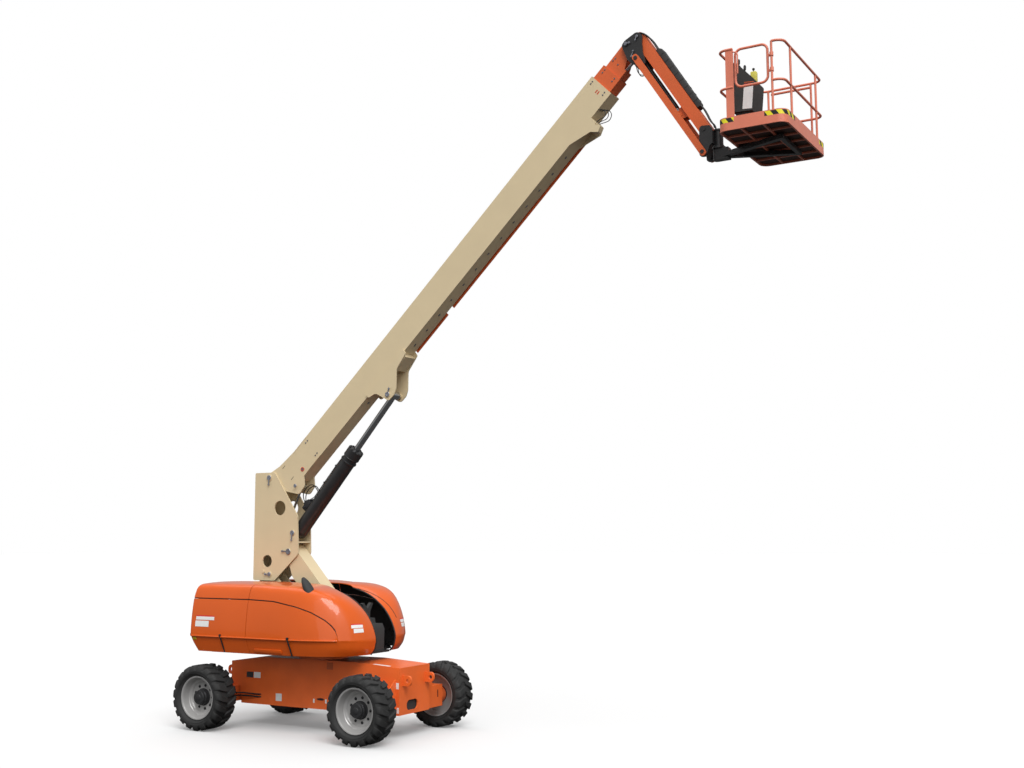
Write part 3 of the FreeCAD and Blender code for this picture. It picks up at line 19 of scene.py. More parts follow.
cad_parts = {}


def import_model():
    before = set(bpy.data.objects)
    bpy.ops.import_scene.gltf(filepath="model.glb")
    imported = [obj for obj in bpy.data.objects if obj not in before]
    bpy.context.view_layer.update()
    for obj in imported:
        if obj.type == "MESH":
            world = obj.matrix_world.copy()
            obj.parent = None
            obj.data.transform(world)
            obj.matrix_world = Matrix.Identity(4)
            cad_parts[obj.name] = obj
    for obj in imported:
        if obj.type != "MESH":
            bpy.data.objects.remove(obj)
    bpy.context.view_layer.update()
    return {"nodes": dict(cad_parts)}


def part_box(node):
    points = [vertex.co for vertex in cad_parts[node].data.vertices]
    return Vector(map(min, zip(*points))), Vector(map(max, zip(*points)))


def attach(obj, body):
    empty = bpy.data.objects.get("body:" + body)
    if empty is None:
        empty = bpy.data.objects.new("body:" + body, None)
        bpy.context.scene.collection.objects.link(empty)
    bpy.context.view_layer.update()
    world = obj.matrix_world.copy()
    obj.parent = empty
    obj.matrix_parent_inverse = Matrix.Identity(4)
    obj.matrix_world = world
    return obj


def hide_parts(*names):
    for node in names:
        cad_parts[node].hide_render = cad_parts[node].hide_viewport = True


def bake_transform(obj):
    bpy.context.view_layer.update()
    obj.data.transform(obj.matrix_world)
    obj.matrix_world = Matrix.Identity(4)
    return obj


LOG = logging.getLogger("boom_lift")
SIDES = (("right", -1), ("left", 1))
Point = Sequence[float]
Colour = tuple[float, float, float]


# ------------------------------------------------------------------ node graphs
class Graph:
    """A hand on a node tree: adds nodes, sets their sockets and links them."""

    def __init__(self, tree: bpy.types.NodeTree) -> None:
        """Keeps the tree that later calls add to."""
        self.tree = tree

    def add(self, kind: str, inputs: dict[Any, Any] | None = None, **settings: Any) -> bpy.types.Node:
        """Adds one node.

        Args:
            kind: Blender's name for the node's class.
            inputs: a value, or a socket to link, for each named or numbered input.
            **settings: properties of the node itself.

        Returns:
            The new node.
        """
        node = self.tree.nodes.new(kind)
        for name, value in settings.items():
            setattr(node, name, value)
        for key, value in (inputs or {}).items():
            if isinstance(value, bpy.types.NodeSocket):
                self.tree.links.new(value, node.inputs[key])
            else:
                node.inputs[key].default_value = value
        return node

    def math(self, operation: str, *values: Any, clamp: bool = False) -> bpy.types.NodeSocket:
        """Adds a Math node on the given values or sockets.

        Args:
            operation: the Math node's operation.
            *values: its inputs, in order.
            clamp: keeps the result between 0 and 1.

        Returns:
            The node's output socket.
        """
        node = self.add("ShaderNodeMath", dict(enumerate(values)), operation=operation, use_clamp=clamp)
        return node.outputs[0]


def new_group(name: str, kind: str, inputs: dict[str, tuple[str, Any]], outputs: dict[str, str]) -> Graph:
    """Makes a node group with named sockets.

    Args:
        name: the group's name.
        kind: ShaderNodeTree or GeometryNodeTree.
        inputs: socket type and default value by name.
        outputs: socket type by name.

    Returns:
        The group's graph.
    """
    tree = bpy.data.node_groups.new(name, kind)
    for label, (socket, default) in inputs.items():
        item = tree.interface.new_socket(name=label, in_out="INPUT", socket_type=socket)
        if default is not None:
            item.default_value = default
    for label, socket in outputs.items():
        tree.interface.new_socket(name=label, in_out="OUTPUT", socket_type=socket)
    return Graph(tree)


FLOAT, COLOUR, VECTOR = "NodeSocketFloat", "NodeSocketColor", "NodeSocketVector"
INTEGER, SHAPE, OBJECT, MATERIAL = (
    "NodeSocketInt", "NodeSocketGeometry", "NodeSocketObject", "NodeSocketMaterial")


class Effects:
    """The shader groups that several finishes share."""

    @staticmethod
    def mottle() -> bpy.types.NodeTree:
        """Soft cloudy noise on Object coordinates, from Low to High."""
        if found := bpy.data.node_groups.get("mottle"):
            return found
        graph = new_group("mottle", "ShaderNodeTree", {
            "Scale": (FLOAT, 5.0), "Detail": (FLOAT, 3.0), "Low": (FLOAT, 0.0), "High": (FLOAT, 1.0),
            "Stretch": (VECTOR, (1.0, 1.0, 1.0))}, {"Value": FLOAT})
        given = graph.add("NodeGroupInput")
        place = graph.add("ShaderNodeTexCoord")
        mapped = graph.add("ShaderNodeMapping", {
            "Vector": place.outputs["Object"], "Scale": given.outputs["Stretch"]})
        noise = graph.add("ShaderNodeTexNoise", {
            "Vector": mapped.outputs[0], "Scale": given.outputs["Scale"], "Detail": given.outputs["Detail"]})
        ranged = graph.add("ShaderNodeMapRange", {
            "Value": noise.outputs["Fac"], "From Min": 0.3, "From Max": 0.7,
            "To Min": given.outputs["Low"], "To Max": given.outputs["High"]})
        graph.add("NodeGroupOutput", {"Value": ranged.outputs[0]})
        return graph.tree

    @staticmethod
    def road_dust() -> bpy.types.NodeTree:
        """A thin mask of dust that fades out with height above the ground."""
        if found := bpy.data.node_groups.get("road_dust"):
            return found
        graph = new_group("road_dust", "ShaderNodeTree", {
            "Height": (FLOAT, 0.8), "Amount": (FLOAT, 0.3)}, {"Mask": FLOAT})
        given = graph.add("NodeGroupInput")
        place = graph.add("ShaderNodeTexCoord")
        parts = graph.add("ShaderNodeSeparateXYZ", {0: place.outputs["Object"]})
        height = graph.math("DIVIDE", parts.outputs["Z"], given.outputs["Height"])
        low = graph.math("SUBTRACT", 1.0, height, clamp=True)
        noise = graph.add("ShaderNodeTexNoise", {
            "Vector": place.outputs["Object"], "Scale": 9.0, "Detail": 6.0})
        cloud = graph.math("MULTIPLY", low, noise.outputs["Fac"])
        graph.add("NodeGroupOutput", {"Mask": graph.math("MULTIPLY", cloud, given.outputs["Amount"])})
        return graph.tree


# ------------------------------------------------------------------ finishes
DUST_COLOUR: Colour = (0.42, 0.38, 0.33)
GLOSS_LOW, GLOSS_HIGH = 0.88, 1.14
RELIEF_STRENGTH = 0.5


@dataclass(frozen=True)
class Finish:
    """One surface finish: its colour, gloss, grain and dust.

    Colours are linear. Grain sizes are in waves per metre, depths in metres.
    """

    name: str
    slot: str
    colour: Colour
    roughness: float = 0.45
    metallic: float = 0.0
    coat: float = 0.0
    coat_roughness: float = 0.08
    shine: float = 0.5
    clouds: float = 3.0
    variation: float = 0.06
    grain: float = 220.0
    depth: float = 0.0004
    dust: float = 0.0

    def base_colour(self, graph: Graph) -> bpy.types.NodeSocket:
        """The colour under the dust: a soft light and dark of the same paint."""
        shade = self.group(graph, Effects.mottle(), {
            "Scale": self.clouds, "Low": 1.0 - self.variation, "High": 1.0 + self.variation})
        colour = graph.add("ShaderNodeVectorMath", {0: self.colour, 3: shade.outputs[0]}, operation="SCALE")
        return colour.outputs[0]

    @staticmethod
    def group(graph: Graph, tree: bpy.types.NodeTree, inputs: dict[str, Any]) -> bpy.types.Node:
        """Places a shader group in a material and sets its inputs."""
        node = graph.tree.nodes.new("ShaderNodeGroup")
        node.node_tree = tree
        for key, value in inputs.items():
            node.inputs[key].default_value = value
        return node

    @staticmethod
    def mix(graph: Graph, factor: Any, first: Any, second: Any) -> bpy.types.NodeSocket:
        """Mixes two colours by a factor."""
        node = graph.add("ShaderNodeMix", data_type="RGBA")
        for index, value in ((0, factor), (6, first), (7, second)):
            if isinstance(value, bpy.types.NodeSocket):
                graph.tree.links.new(value, node.inputs[index])
            elif index == 0:
                node.inputs[index].default_value = value
            else:
                node.inputs[index].default_value = (*value, 1.0)
        return node.outputs[2]

    def material(self) -> bpy.types.Material:
        """Builds the material once, and returns it."""
        if found := bpy.data.materials.get(self.name):
            return found
        material = bpy.data.materials.new(self.name)
        material.use_nodes = True
        material.diffuse_color = (*self.colour, 1.0)
        graph = Graph(material.node_tree)
        shader = graph.tree.nodes["Principled BSDF"]
        for key, value in (("Metallic", self.metallic), ("Coat Weight", self.coat),
                           ("Coat Roughness", self.coat_roughness), ("Specular IOR Level", self.shine)):
            shader.inputs[key].default_value = value
        colour = self.base_colour(graph)
        if self.dust:
            film = self.group(graph, Effects.road_dust(), {"Amount": self.dust})
            colour = self.mix(graph, film.outputs[0], colour, DUST_COLOUR)
        graph.tree.links.new(colour, shader.inputs["Base Color"])
        gloss = self.group(graph, Effects.mottle(), {
            "Scale": self.clouds * 4, "Detail": 5.0,
            "Low": self.roughness * GLOSS_LOW, "High": min(1.0, self.roughness * GLOSS_HIGH)})
        graph.tree.links.new(gloss.outputs[0], shader.inputs["Roughness"])
        relief = self.group(graph, Effects.mottle(), {"Scale": self.grain, "Detail": 2.0})
        bump = graph.add("ShaderNodeBump", {
            "Height": relief.outputs[0], "Distance": self.depth, "Strength": RELIEF_STRENGTH})
        graph.tree.links.new(bump.outputs[0], shader.inputs["Normal"])
        return material


@dataclass(frozen=True)
class HazardFinish(Finish):
    """Yellow and black slanted bars along the tape's own length."""

    bar: float = 0.075
    lean: float = 0.7
    black: Colour = (0.012, 0.012, 0.012)

    def base_colour(self, graph: Graph) -> bpy.types.NodeSocket:
        """Bars that follow the tape's UV map, which is in metres."""
        place = graph.add("ShaderNodeUVMap", uv_map="along")
        parts = graph.add("ShaderNodeSeparateXYZ", {0: place.outputs[0]})
        slant = graph.math("ADD", parts.outputs["X"], graph.math("MULTIPLY", parts.outputs["Y"], self.lean))
        wave = graph.math("FRACT", graph.math("DIVIDE", slant, self.bar * 2))
        return self.mix(graph, graph.math("GREATER_THAN", wave, 0.5), self.colour, self.black)


@dataclass(frozen=True)
class LabelFinish(Finish):
    """A plain plate with one bar of colour along its top edge."""

    bar: Colour = (0.6, 0.03, 0.02)
    share: float = 0.0

    def base_colour(self, graph: Graph) -> bpy.types.NodeSocket:
        """White, with the bar over the share of the plate's height."""
        if not self.share:
            return super().base_colour(graph)
        place = graph.add("ShaderNodeUVMap", uv_map="along")
        parts = graph.add("ShaderNodeSeparateXYZ", {0: place.outputs[0]})
        top = graph.math("GREATER_THAN", parts.outputs["Y"], 1.0 - self.share)
        return self.mix(graph, top, self.colour, self.bar)


# The chassis' orange is set lighter than the boom's same paint: painted light that lifts the shade under the
# hoods.
ORANGE_STEEL = Finish("orange_paint_and_painted_light", "orange_steel", (0.80, 0.140, 0.026), 0.4, coat=0.2,
                      coat_roughness=0.15, shine=0.3, dust=0.1)
BOOM_ORANGE = Finish("boom_orange_paint", "orange_steel", (0.64, 0.118, 0.032), 0.45, shine=0.35)
BEIGE_STEEL = Finish("beige_paint", "beige_steel", (0.64, 0.52, 0.325), 0.5, coat=0.1,
                     coat_roughness=0.25, variation=0.02, depth=0.0002)
BLACK_STEEL = Finish("black_paint", "black_steel", (0.02, 0.02, 0.021), 0.4, coat=0.2,
                     coat_roughness=0.2)
HOOD_ORANGE = Finish("hood_gel_coat", "orange_moulding", (0.63, 0.097, 0.008), 0.32, coat=0.5,
                     coat_roughness=0.05, shine=0.25, clouds=1.5, variation=0.03, grain=60.0, depth=0.0001)
# The platform's orange is a paler, pinker copy of the same paint: its own colour plus painted light for the
# light that washes over the platform.
CAGE_ORANGE = Finish("cage_paint_and_painted_light", "platform_paint", (0.70, 0.195, 0.115), 0.42, coat=0.25,
                     coat_roughness=0.15)
RIM_GREY = Finish("rim_paint", "grey_rim", (0.36, 0.355, 0.35), 0.36, metallic=0.25, coat=0.2, dust=0.2)
RUBBER = Finish("tyre_rubber", "tyre_rubber", (0.016, 0.016, 0.017), 0.5, variation=0.2, grain=140.0,
                depth=0.001, dust=0.15)
CHROME = Finish("chromed_rod", "rod_chrome", (0.5, 0.51, 0.52), 0.2, metallic=1.0, variation=0.03,
                grain=500.0, depth=0.0001)
CASTING = Finish("cast_iron", "dark_casting", (0.026, 0.026, 0.028), 0.5, metallic=0.2, grain=180.0,
                 depth=0.0012, variation=0.15)
PLASTIC = Finish("black_plastic", "black_plastic", (0.018, 0.018, 0.019), 0.45, grain=400.0, depth=0.0006)
AGED_ORANGE = Finish("aged_orange", "orange_steel", (0.50, 0.085, 0.012), 0.5, coat=0.1, variation=0.05)
# Painted shade: a dark orange-brown that stands for the shade of the platform's floor seen from below.
MESH_SHADE = Finish("painted_floor_shade", "black_plastic", (0.045, 0.017, 0.010), 0.6, grain=400.0, depth=0.0006)
TRIM_RUBBER = Finish("trim_rubber", "black_plastic", (0.012, 0.012, 0.012), 0.6, grain=300.0)
HOSE_RUBBER = Finish("hose_rubber", "black_plastic", (0.016, 0.016, 0.017), 0.5, grain=500.0)
BOLT_STEEL = Finish("plated_bolt", "rod_chrome", (0.24, 0.25, 0.28), 0.35, metallic=0.8, variation=0.1)
PIN_STEEL = Finish("pin_steel", "rod_chrome", (0.3, 0.31, 0.35), 0.35, metallic=0.75, variation=0.15)
YELLOW = Finish("warm_yellow_plastic", "black_plastic", (0.66, 0.6, 0.09), 0.45, coat=0.2)
RED_MARK = Finish("red_mark", "black_plastic", (0.55, 0.07, 0.03), 0.5)
HAZARD = HazardFinish("hazard_tape", "black_plastic", (0.82, 0.72, 0.01), 0.45)
PLATE = LabelFinish("blank_plate", "black_plastic", (0.75, 0.75, 0.74), 0.45, variation=0.02)
RED_PLATE = LabelFinish("red_topped_plate", "black_plastic", (0.75, 0.75, 0.74), 0.45, share=0.28)
PANEL_PLATE = LabelFinish("panel_plate", "black_plastic", (0.75, 0.75, 0.74), 0.45, share=0.1)

CYLINDERS = ("steer", "riser", "lift", "level", "slave", "jib")
CAD_FINISHES: dict[str, Finish] = {name: finish for finish, names in (
    (ORANGE_STEEL, ("chassis_frame", "front_axle", "rear_axle", "swing_bearing")),
    (BOOM_ORANGE, ("boom_mid", "boom_fly", "hose_trough", "jib_beam", "jib_link")),
    (BEIGE_STEEL, ("boom_base", "upright", "main_link", "timing_link")),
    (BLACK_STEEL, ("turntable_frame", "jib_knuckle", "platform_bracket", "platform_support",
                   "platform_rotator", *(f"{word}_cylinder_barrel" for word in CYLINDERS))),
    (CAGE_ORANGE, ("platform_deck", "platform_rails", "platform_gate")),
    (CASTING, ("counterweight", "engine_block", "left_steer_knuckle", "right_steer_knuckle", "tie_rod")),
    (PLASTIC, ("front_console", "control_console")),
    (CHROME, tuple(f"{word}_cylinder_rod" for word in CYLINDERS))) for name in names}


# ------------------------------------------------------------------ meshes
MERGE = 1e-5


def linked(name: str, mesh: bpy.types.Mesh) -> bpy.types.Object:
    """Puts a mesh in the scene as an object at the origin."""
    piece = bpy.data.objects.new(name, mesh)
    bpy.context.scene.collection.objects.link(piece)
    return piece


def from_bmesh(name: str, shape: bmesh.types.BMesh, smooth: float = 0.6) -> bpy.types.Object:
    """Turns a bmesh into an object, with soft shading under an edge angle.

    Args:
        name: the object's name.
        shape: the bmesh, which is freed.
        smooth: edges that turn more than this angle, in radians, stay sharp.

    Returns:
        The new object.
    """
    bmesh.ops.remove_doubles(shape, verts=shape.verts, dist=MERGE)
    bmesh.ops.recalc_face_normals(shape, faces=shape.faces)
    for face in shape.faces:
        face.smooth = True
    for edge in shape.edges:
        edge.smooth = edge.is_manifold and edge.calc_face_angle(0.0) < smooth
    return as_drawn(name, shape)


def as_drawn(name: str, shape: bmesh.types.BMesh) -> bpy.types.Object:
    """Turns a bmesh into an object just as it is, and frees it."""
    mesh = bpy.data.meshes.new(name)
    shape.to_mesh(mesh)
    shape.free()
    return linked(name, mesh)


def revolved(name: str, profile: Sequence[tuple[float, float]], steps: int = 64,
             smooth: float = 0.5) -> bpy.types.Object:
    """Spins a closed profile of (radius, height) about +Z.

    Args:
        name: the object's name.
        profile: the points of the closed profile.
        steps: how many slices make the whole turn.
        smooth: sharp edge angle in radians.

    Returns:
        The new object.
    """
    shape = bmesh.new()
    rings = []
    for step in range(steps):
        turn = 2 * math.pi * step / steps
        rings.append([shape.verts.new((r * math.cos(turn), r * math.sin(turn), z)) for r, z in profile])
    count = len(profile)
    for step in range(steps):
        here, there = rings[step], rings[(step + 1) % steps]
        for i in range(count):
            j = (i + 1) % count
            if profile[i][0] < 1e-6 and profile[j][0] < 1e-6:
                continue
            shape.faces.new((here[i], there[i], there[j], here[j]))
    return from_bmesh(name, cleaned(shape), smooth)


def cleaned(shape: bmesh.types.BMesh) -> bmesh.types.BMesh:
    """Merges doubles and drops the faces with no area that merging leaves."""
    bmesh.ops.remove_doubles(shape, verts=shape.verts, dist=MERGE)
    bmesh.ops.dissolve_degenerate(shape, edges=shape.edges, dist=1e-6)
    return shape


def prism(name: str, outline: Sequence[tuple[float, float]], low: float, high: float,
          bevel: float = 0.002, segments: int = 2) -> bpy.types.Object:
    """Extrudes an outline in X, Y from low to high along Z, and rounds its edges.

    Args:
        name: the object's name.
        outline: the corners, in order.
        low: where it starts on Z.
        high: where it ends on Z.
        bevel: the radius of its edges.
        segments: how many faces round an edge.

    Returns:
        The new object.
    """
    shape = bmesh.new()
    bottom = [shape.verts.new((x, y, low)) for x, y in outline]
    top = [shape.verts.new((x, y, high)) for x, y in outline]
    shape.faces.new(bottom)
    shape.faces.new(top)
    for i in range(len(outline)):
        j = (i + 1) % len(outline)
        shape.faces.new((bottom[i], bottom[j], top[j], top[i]))
    if bevel:
        bmesh.ops.bevel(shape, geom=list(shape.edges), offset=bevel, segments=segments,
                        affect="EDGES", profile=0.6, clamp_overlap=True)
    return from_bmesh(name, shape)


def rectangle(x0: float, y0: float, x1: float, y1: float) -> list[tuple[float, float]]:
    """The corners of a rectangle, anticlockwise."""
    return [(x0, y0), (x1, y0), (x1, y1), (x0, y1)]


def rounded_box(name: str, low: Point, high: Point, bevel: float = 0.004) -> bpy.types.Object:
    """A box between two corners, with rounded edges."""
    return prism(name, rectangle(*low[:2], *high[:2]), low[2], high[2], bevel)


def moved(piece: bpy.types.Object, matrix: Matrix) -> bpy.types.Object:
    """Puts a placement into the mesh itself, so that the object stays at the origin."""
    piece.data.transform(matrix)
    if matrix.determinant() < 0:
        piece.data.flip_normals()
    return piece


def joined(name: str, pieces: Sequence[bpy.types.Object]) -> bpy.types.Object:
    """Joins several pieces into one object, and keeps each one's material."""
    shape = bmesh.new()
    mesh = bpy.data.meshes.new(name)
    for piece in pieces:
        first = len(shape.faces)
        shape.from_mesh(piece.data)
        shape.faces.ensure_lookup_table()
        slots = []
        for material in piece.data.materials or [None]:
            if material is not None and material.name not in mesh.materials:
                mesh.materials.append(material)
            slots.append(mesh.materials.find(material.name) if material is not None else 0)
        for face in shape.faces[first:]:
            face.material_index = slots[min(face.material_index, len(slots) - 1)]
        drop(piece)
    shape.to_mesh(mesh)
    shape.free()
    return linked(name, mesh)


def drop(piece: bpy.types.Object) -> None:
    """Removes an object that was only a step on the way."""
    bpy.data.objects.remove(piece)


def painted(piece: bpy.types.Object, finish: Finish) -> bpy.types.Object:
    """Gives a piece its finish."""
    piece.data.materials.clear()
    piece.data.materials.append(finish.material())
    return piece


def mounted(piece: bpy.types.Object, body: str, finish: Finish | None = None) -> bpy.types.Object:
    """Finishes a piece, lets it ride on a body and reports it.

    Args:
        piece: the piece, already in place.
        body: the CAD body that it rides on.
        finish: its finish, or None where it has one already.

    Returns:
        The piece.
    """
    if finish is not None:
        painted(piece, finish)
    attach(piece, body)
    LOG.info("%s rides on %s: %d faces", piece.name, body, len(piece.data.polygons))
    return piece


def facing(direction: Point, place: Point = (0, 0, 0)) -> Matrix:
    """A placement that turns +Z to a direction and moves the origin to a place."""
    turn = Vector(direction).to_track_quat("Z", "Y").to_matrix().to_4x4()
    return Matrix.Translation(place) @ turn


def pitched(place: Point, angle: float) -> Matrix:
    """A placement at a point, tipped nose up about Y by an angle in degrees."""
    return Matrix.Translation(place) @ Matrix.Rotation(-math.radians(angle), 4, "Y")


def side_frame(y: float, side: int) -> Matrix:
    """A placement that lays local X, Y on the machine's X, Z and local Z outwards at a side."""
    return Matrix(((1, 0, 0, 0), (0, 0, side, y), (0, 1, 0, 0), (0, 0, 0, 1)))


# ------------------------------------------------------------------ geometry nodes
class Repeats:
    """The geometry trees that make what repeats or follows a path."""

    @staticmethod
    def start(name: str, **inputs: tuple[str, Any]) -> tuple[Graph, bpy.types.Node]:
        """Starts a tree that takes a shape and further named inputs, and gives a shape."""
        sockets = {"Geometry": (SHAPE, None), **inputs}
        graph = new_group(name, "GeometryNodeTree", sockets, {"Geometry": SHAPE})
        return graph, graph.add("NodeGroupInput")

    @classmethod
    def placed(cls, graph: Graph, given: bpy.types.Node, points: Any, **turns: Any) -> bpy.types.NodeTree:
        """Puts the given piece on each point, and ends the tree."""
        piece = graph.add("GeometryNodeObjectInfo", {"Object": given.outputs["Piece"]})
        copies = graph.add("GeometryNodeInstanceOnPoints", {
            "Points": points, "Instance": piece.outputs["Geometry"], **turns})
        return cls.finish(graph, copies.outputs[0], given)

    @staticmethod
    def finish(graph: Graph, shape: Any, given: bpy.types.Node) -> bpy.types.NodeTree:
        """Ends a tree: real geometry, and its material."""
        real = graph.add("GeometryNodeRealizeInstances", {0: shape})
        done = graph.add("GeometryNodeSetMaterial", {
            "Geometry": real.outputs[0], "Material": given.outputs["Finish"]})
        graph.add("NodeGroupOutput", {"Geometry": done.outputs[0]})
        return graph.tree

    @classmethod
    def ring(cls) -> bpy.types.NodeTree:
        """Copies of a piece round +Z, its +X turned outwards."""
        if found := bpy.data.node_groups.get("ring_of_pieces"):
            return found
        graph, given = cls.start("ring_of_pieces", Piece=(OBJECT, None), Count=(INTEGER, 8),
                                 Radius=(FLOAT, 0.1), Phase=(FLOAT, 0.0), Finish=(MATERIAL, None))
        index = graph.add("GeometryNodeInputIndex")
        step = graph.math("DIVIDE", 2 * math.pi, given.outputs["Count"])
        turn = graph.math("MULTIPLY", graph.math("ADD", index.outputs[0], given.outputs["Phase"]), step)
        x = graph.math("MULTIPLY", graph.math("COSINE", turn), given.outputs["Radius"])
        y = graph.math("MULTIPLY", graph.math("SINE", turn), given.outputs["Radius"])
        place = graph.add("ShaderNodeCombineXYZ", {0: x, 1: y})
        spin = graph.add("ShaderNodeCombineXYZ", {2: turn})
        points = graph.add("GeometryNodePoints", {
            "Count": given.outputs["Count"], "Position": place.outputs[0]})
        return cls.placed(graph, given, points.outputs[0], Rotation=spin.outputs[0])

    @classmethod
    def studs(cls) -> bpy.types.NodeTree:
        """A piece on each point, its +Z turned along the point's own facing."""
        if found := bpy.data.node_groups.get("studs_on_points"):
            return found
        graph, given = cls.start("studs_on_points", Piece=(OBJECT, None), Size=(FLOAT, 1.0),
                                 Finish=(MATERIAL, None))
        outwards = graph.add("GeometryNodeInputNamedAttribute", {"Name": "facing"}, data_type="FLOAT_VECTOR")
        turn = graph.add("FunctionNodeAlignRotationToVector", {"Vector": outwards.outputs[0]}, axis="Z")
        size = graph.add("ShaderNodeCombineXYZ", {i: given.outputs["Size"] for i in range(3)})
        return cls.placed(graph, given, given.outputs["Geometry"], Rotation=turn.outputs[0],
                          Scale=size.outputs[0])

    @classmethod
    def hose(cls) -> bpy.types.NodeTree:
        """A round tube along a curve, closed at its ends."""
        if found := bpy.data.node_groups.get("tube_on_curve"):
            return found
        graph, given = cls.start("tube_on_curve", Radius=(FLOAT, 0.01), Step=(FLOAT, 0.02),
                                 Faces=(INTEGER, 12), Finish=(MATERIAL, None))
        even = graph.add("GeometryNodeResampleCurve", {
            "Curve": given.outputs["Geometry"], "Length": given.outputs["Step"]}, mode="LENGTH")
        ring = graph.add("GeometryNodeCurvePrimitiveCircle", {
            "Resolution": given.outputs["Faces"], "Radius": given.outputs["Radius"]})
        tube = graph.add("GeometryNodeCurveToMesh", {
            "Curve": even.outputs[0], "Profile Curve": ring.outputs[0], "Fill Caps": True})
        soft = graph.add("GeometryNodeSetShadeSmooth", {"Geometry": tube.outputs[0], "Shade Smooth": True})
        return cls.finish(graph, soft.outputs[0], given)

    @classmethod
    def row(cls) -> bpy.types.NodeTree:
        """Copies of a piece along a curve, its +X turned along the curve."""
        if found := bpy.data.node_groups.get("row_on_curve"):
            return found
        graph, given = cls.start("row_on_curve", Piece=(OBJECT, None), Pitch=(FLOAT, 0.1),
                                 Finish=(MATERIAL, None))
        even = graph.add("GeometryNodeResampleCurve", {
            "Curve": given.outputs["Geometry"], "Length": given.outputs["Pitch"]}, mode="LENGTH")
        along = graph.add("GeometryNodeInputTangent")
        turn = graph.add("FunctionNodeAlignRotationToVector", {"Vector": along.outputs[0]}, axis="X")
        return cls.placed(graph, given, even.outputs[0], Rotation=turn.outputs[0])

    @classmethod
    def soft_faces(cls) -> bpy.types.NodeTree:
        """Welds a CAD node's loose triangles, and shades its round faces softly."""
        if found := bpy.data.node_groups.get("weld_and_shade"):
            return found
        graph, given = cls.start("weld_and_shade", Angle=(FLOAT, 0.55))
        welded = graph.add("GeometryNodeMergeByDistance", {
            "Geometry": given.outputs["Geometry"], "Distance": 0.00002})
        turn = graph.add("GeometryNodeInputMeshEdgeAngle")
        sharp = graph.add("FunctionNodeCompare", {
            0: turn.outputs["Unsigned Angle"], 1: given.outputs["Angle"]},
            data_type="FLOAT", operation="GREATER_THAN")
        soft = graph.add("GeometryNodeSetShadeSmooth", {"Geometry": welded.outputs[0], "Shade Smooth": True})
        kept = graph.add("GeometryNodeSetShadeSmooth", {
            "Geometry": soft.outputs[0], "Selection": sharp.outputs[0], "Shade Smooth": False}, domain="EDGE")
        graph.add("NodeGroupOutput", {"Geometry": kept.outputs[0]})
        return graph.tree


def add_tree(piece: bpy.types.Object, tree: bpy.types.NodeTree, **values: Any) -> bpy.types.Modifier:
    """Puts a geometry tree on a piece and sets its named inputs by their identifiers."""
    modifier = piece.modifiers.new(tree.name, "NODES")
    modifier.node_group = tree
    for item in tree.interface.items_tree:
        if item.item_type == "SOCKET" and item.in_out == "INPUT" and item.name in values:
            modifier[item.identifier] = values[item.name]
    return modifier


def grown(name: str, base: bpy.types.Object, tree: bpy.types.NodeTree, **values: Any) -> bpy.types.Object:
    """Runs a geometry tree on a base object and keeps the result as a plain mesh.

    Args:
        name: the new object's name.
        base: the object that the tree starts from, which is removed.
        tree: the geometry tree.
        **values: its named inputs.

    Returns:
        The new object.
    """
    add_tree(base, tree, **values)
    view = bpy.context.evaluated_depsgraph_get()
    view.update()
    mesh = bpy.data.meshes.new_from_object(base.evaluated_get(view), depsgraph=view)
    mesh.name = name
    base.modifiers.clear()
    drop(base)
    for piece in values.values():
        if isinstance(piece, bpy.types.Object):
            drop(piece)
    return linked(name, mesh)


def path_of(points: Sequence[Point], order: int = 3) -> bpy.types.Object:
    """An open curve led by the given points: smooth from order 3, straight runs at order 2."""
    curve = bpy.data.curves.new("path", "CURVE")
    curve.dimensions = "3D"
    curve.resolution_u = 12
    spline = curve.splines.new("NURBS" if order > 2 else "POLY")
    spline.points.add(len(points) - 1)
    for knot, point in zip(spline.points, points):
        knot.co = (*point, 1.0)
    if order > 2:
        spline.order_u = order
        spline.use_endpoint_u = True
    path = bpy.data.objects.new("path", curve)
    bpy.context.scene.collection.objects.link(path)
    return path


def hose(name: str, points: Sequence[Point], radius: float, finish: Finish = HOSE_RUBBER,
         order: int = 3, faces: int = 12) -> bpy.types.Object:
    """A tube along a smooth line through the given lead points."""
    return grown(name, path_of(points, order), Repeats.hose(), Radius=radius, Faces=faces,
                 Step=max(radius * 1.2, 0.012), Finish=finish.material())


def hex_bolt(size: float = 0.012) -> bpy.types.Object:
    """A bolt head on its washer, standing on Z = 0, for a thread of the given radius."""
    washer = revolved("washer", [(0, 0), (size * 1.7, 0), (size * 1.7, size * 0.25), (0, size * 0.25)], 16)
    reach = size * 1.25
    corners = [(reach * math.cos(i * math.pi / 3), reach * math.sin(i * math.pi / 3)) for i in range(6)]
    head = prism("head", corners, size * 0.2, reach, bevel=size * 0.16, segments=1)
    return joined("bolt", [washer, head])


def bolts(name: str, places: Sequence[tuple[Point, Point]], size: float = 0.012,
          finish: Finish = BOLT_STEEL) -> bpy.types.Object:
    """Bolt heads at points, each facing its own way.

    Args:
        name: the object's name.
        places: (point, outward direction) of each bolt.
        size: the thread's radius.
        finish: the bolts' finish.

    Returns:
        The new object.
    """
    mesh = bpy.data.meshes.new(name)
    mesh.from_pydata([tuple(point) for point, _ in places], [], [])
    outwards = mesh.attributes.new("facing", "FLOAT_VECTOR", "POINT")
    for item, (_, direction) in zip(outwards.data, places):
        item.vector = direction
    return grown(name, linked(name, mesh), Repeats.studs(), Piece=hex_bolt(size), Size=1.0,
                 Finish=finish.material())


def ring(name: str, piece: bpy.types.Object, count: int, radius: float, finish: Finish,
         phase: float = 0.0) -> bpy.types.Object:
    """Copies of a piece in a ring about +Z."""
    base = linked(name + "_base", bpy.data.meshes.new(name))
    return grown(name, base, Repeats.ring(), Piece=piece, Count=count, Radius=radius, Phase=phase,
                 Finish=finish.material())


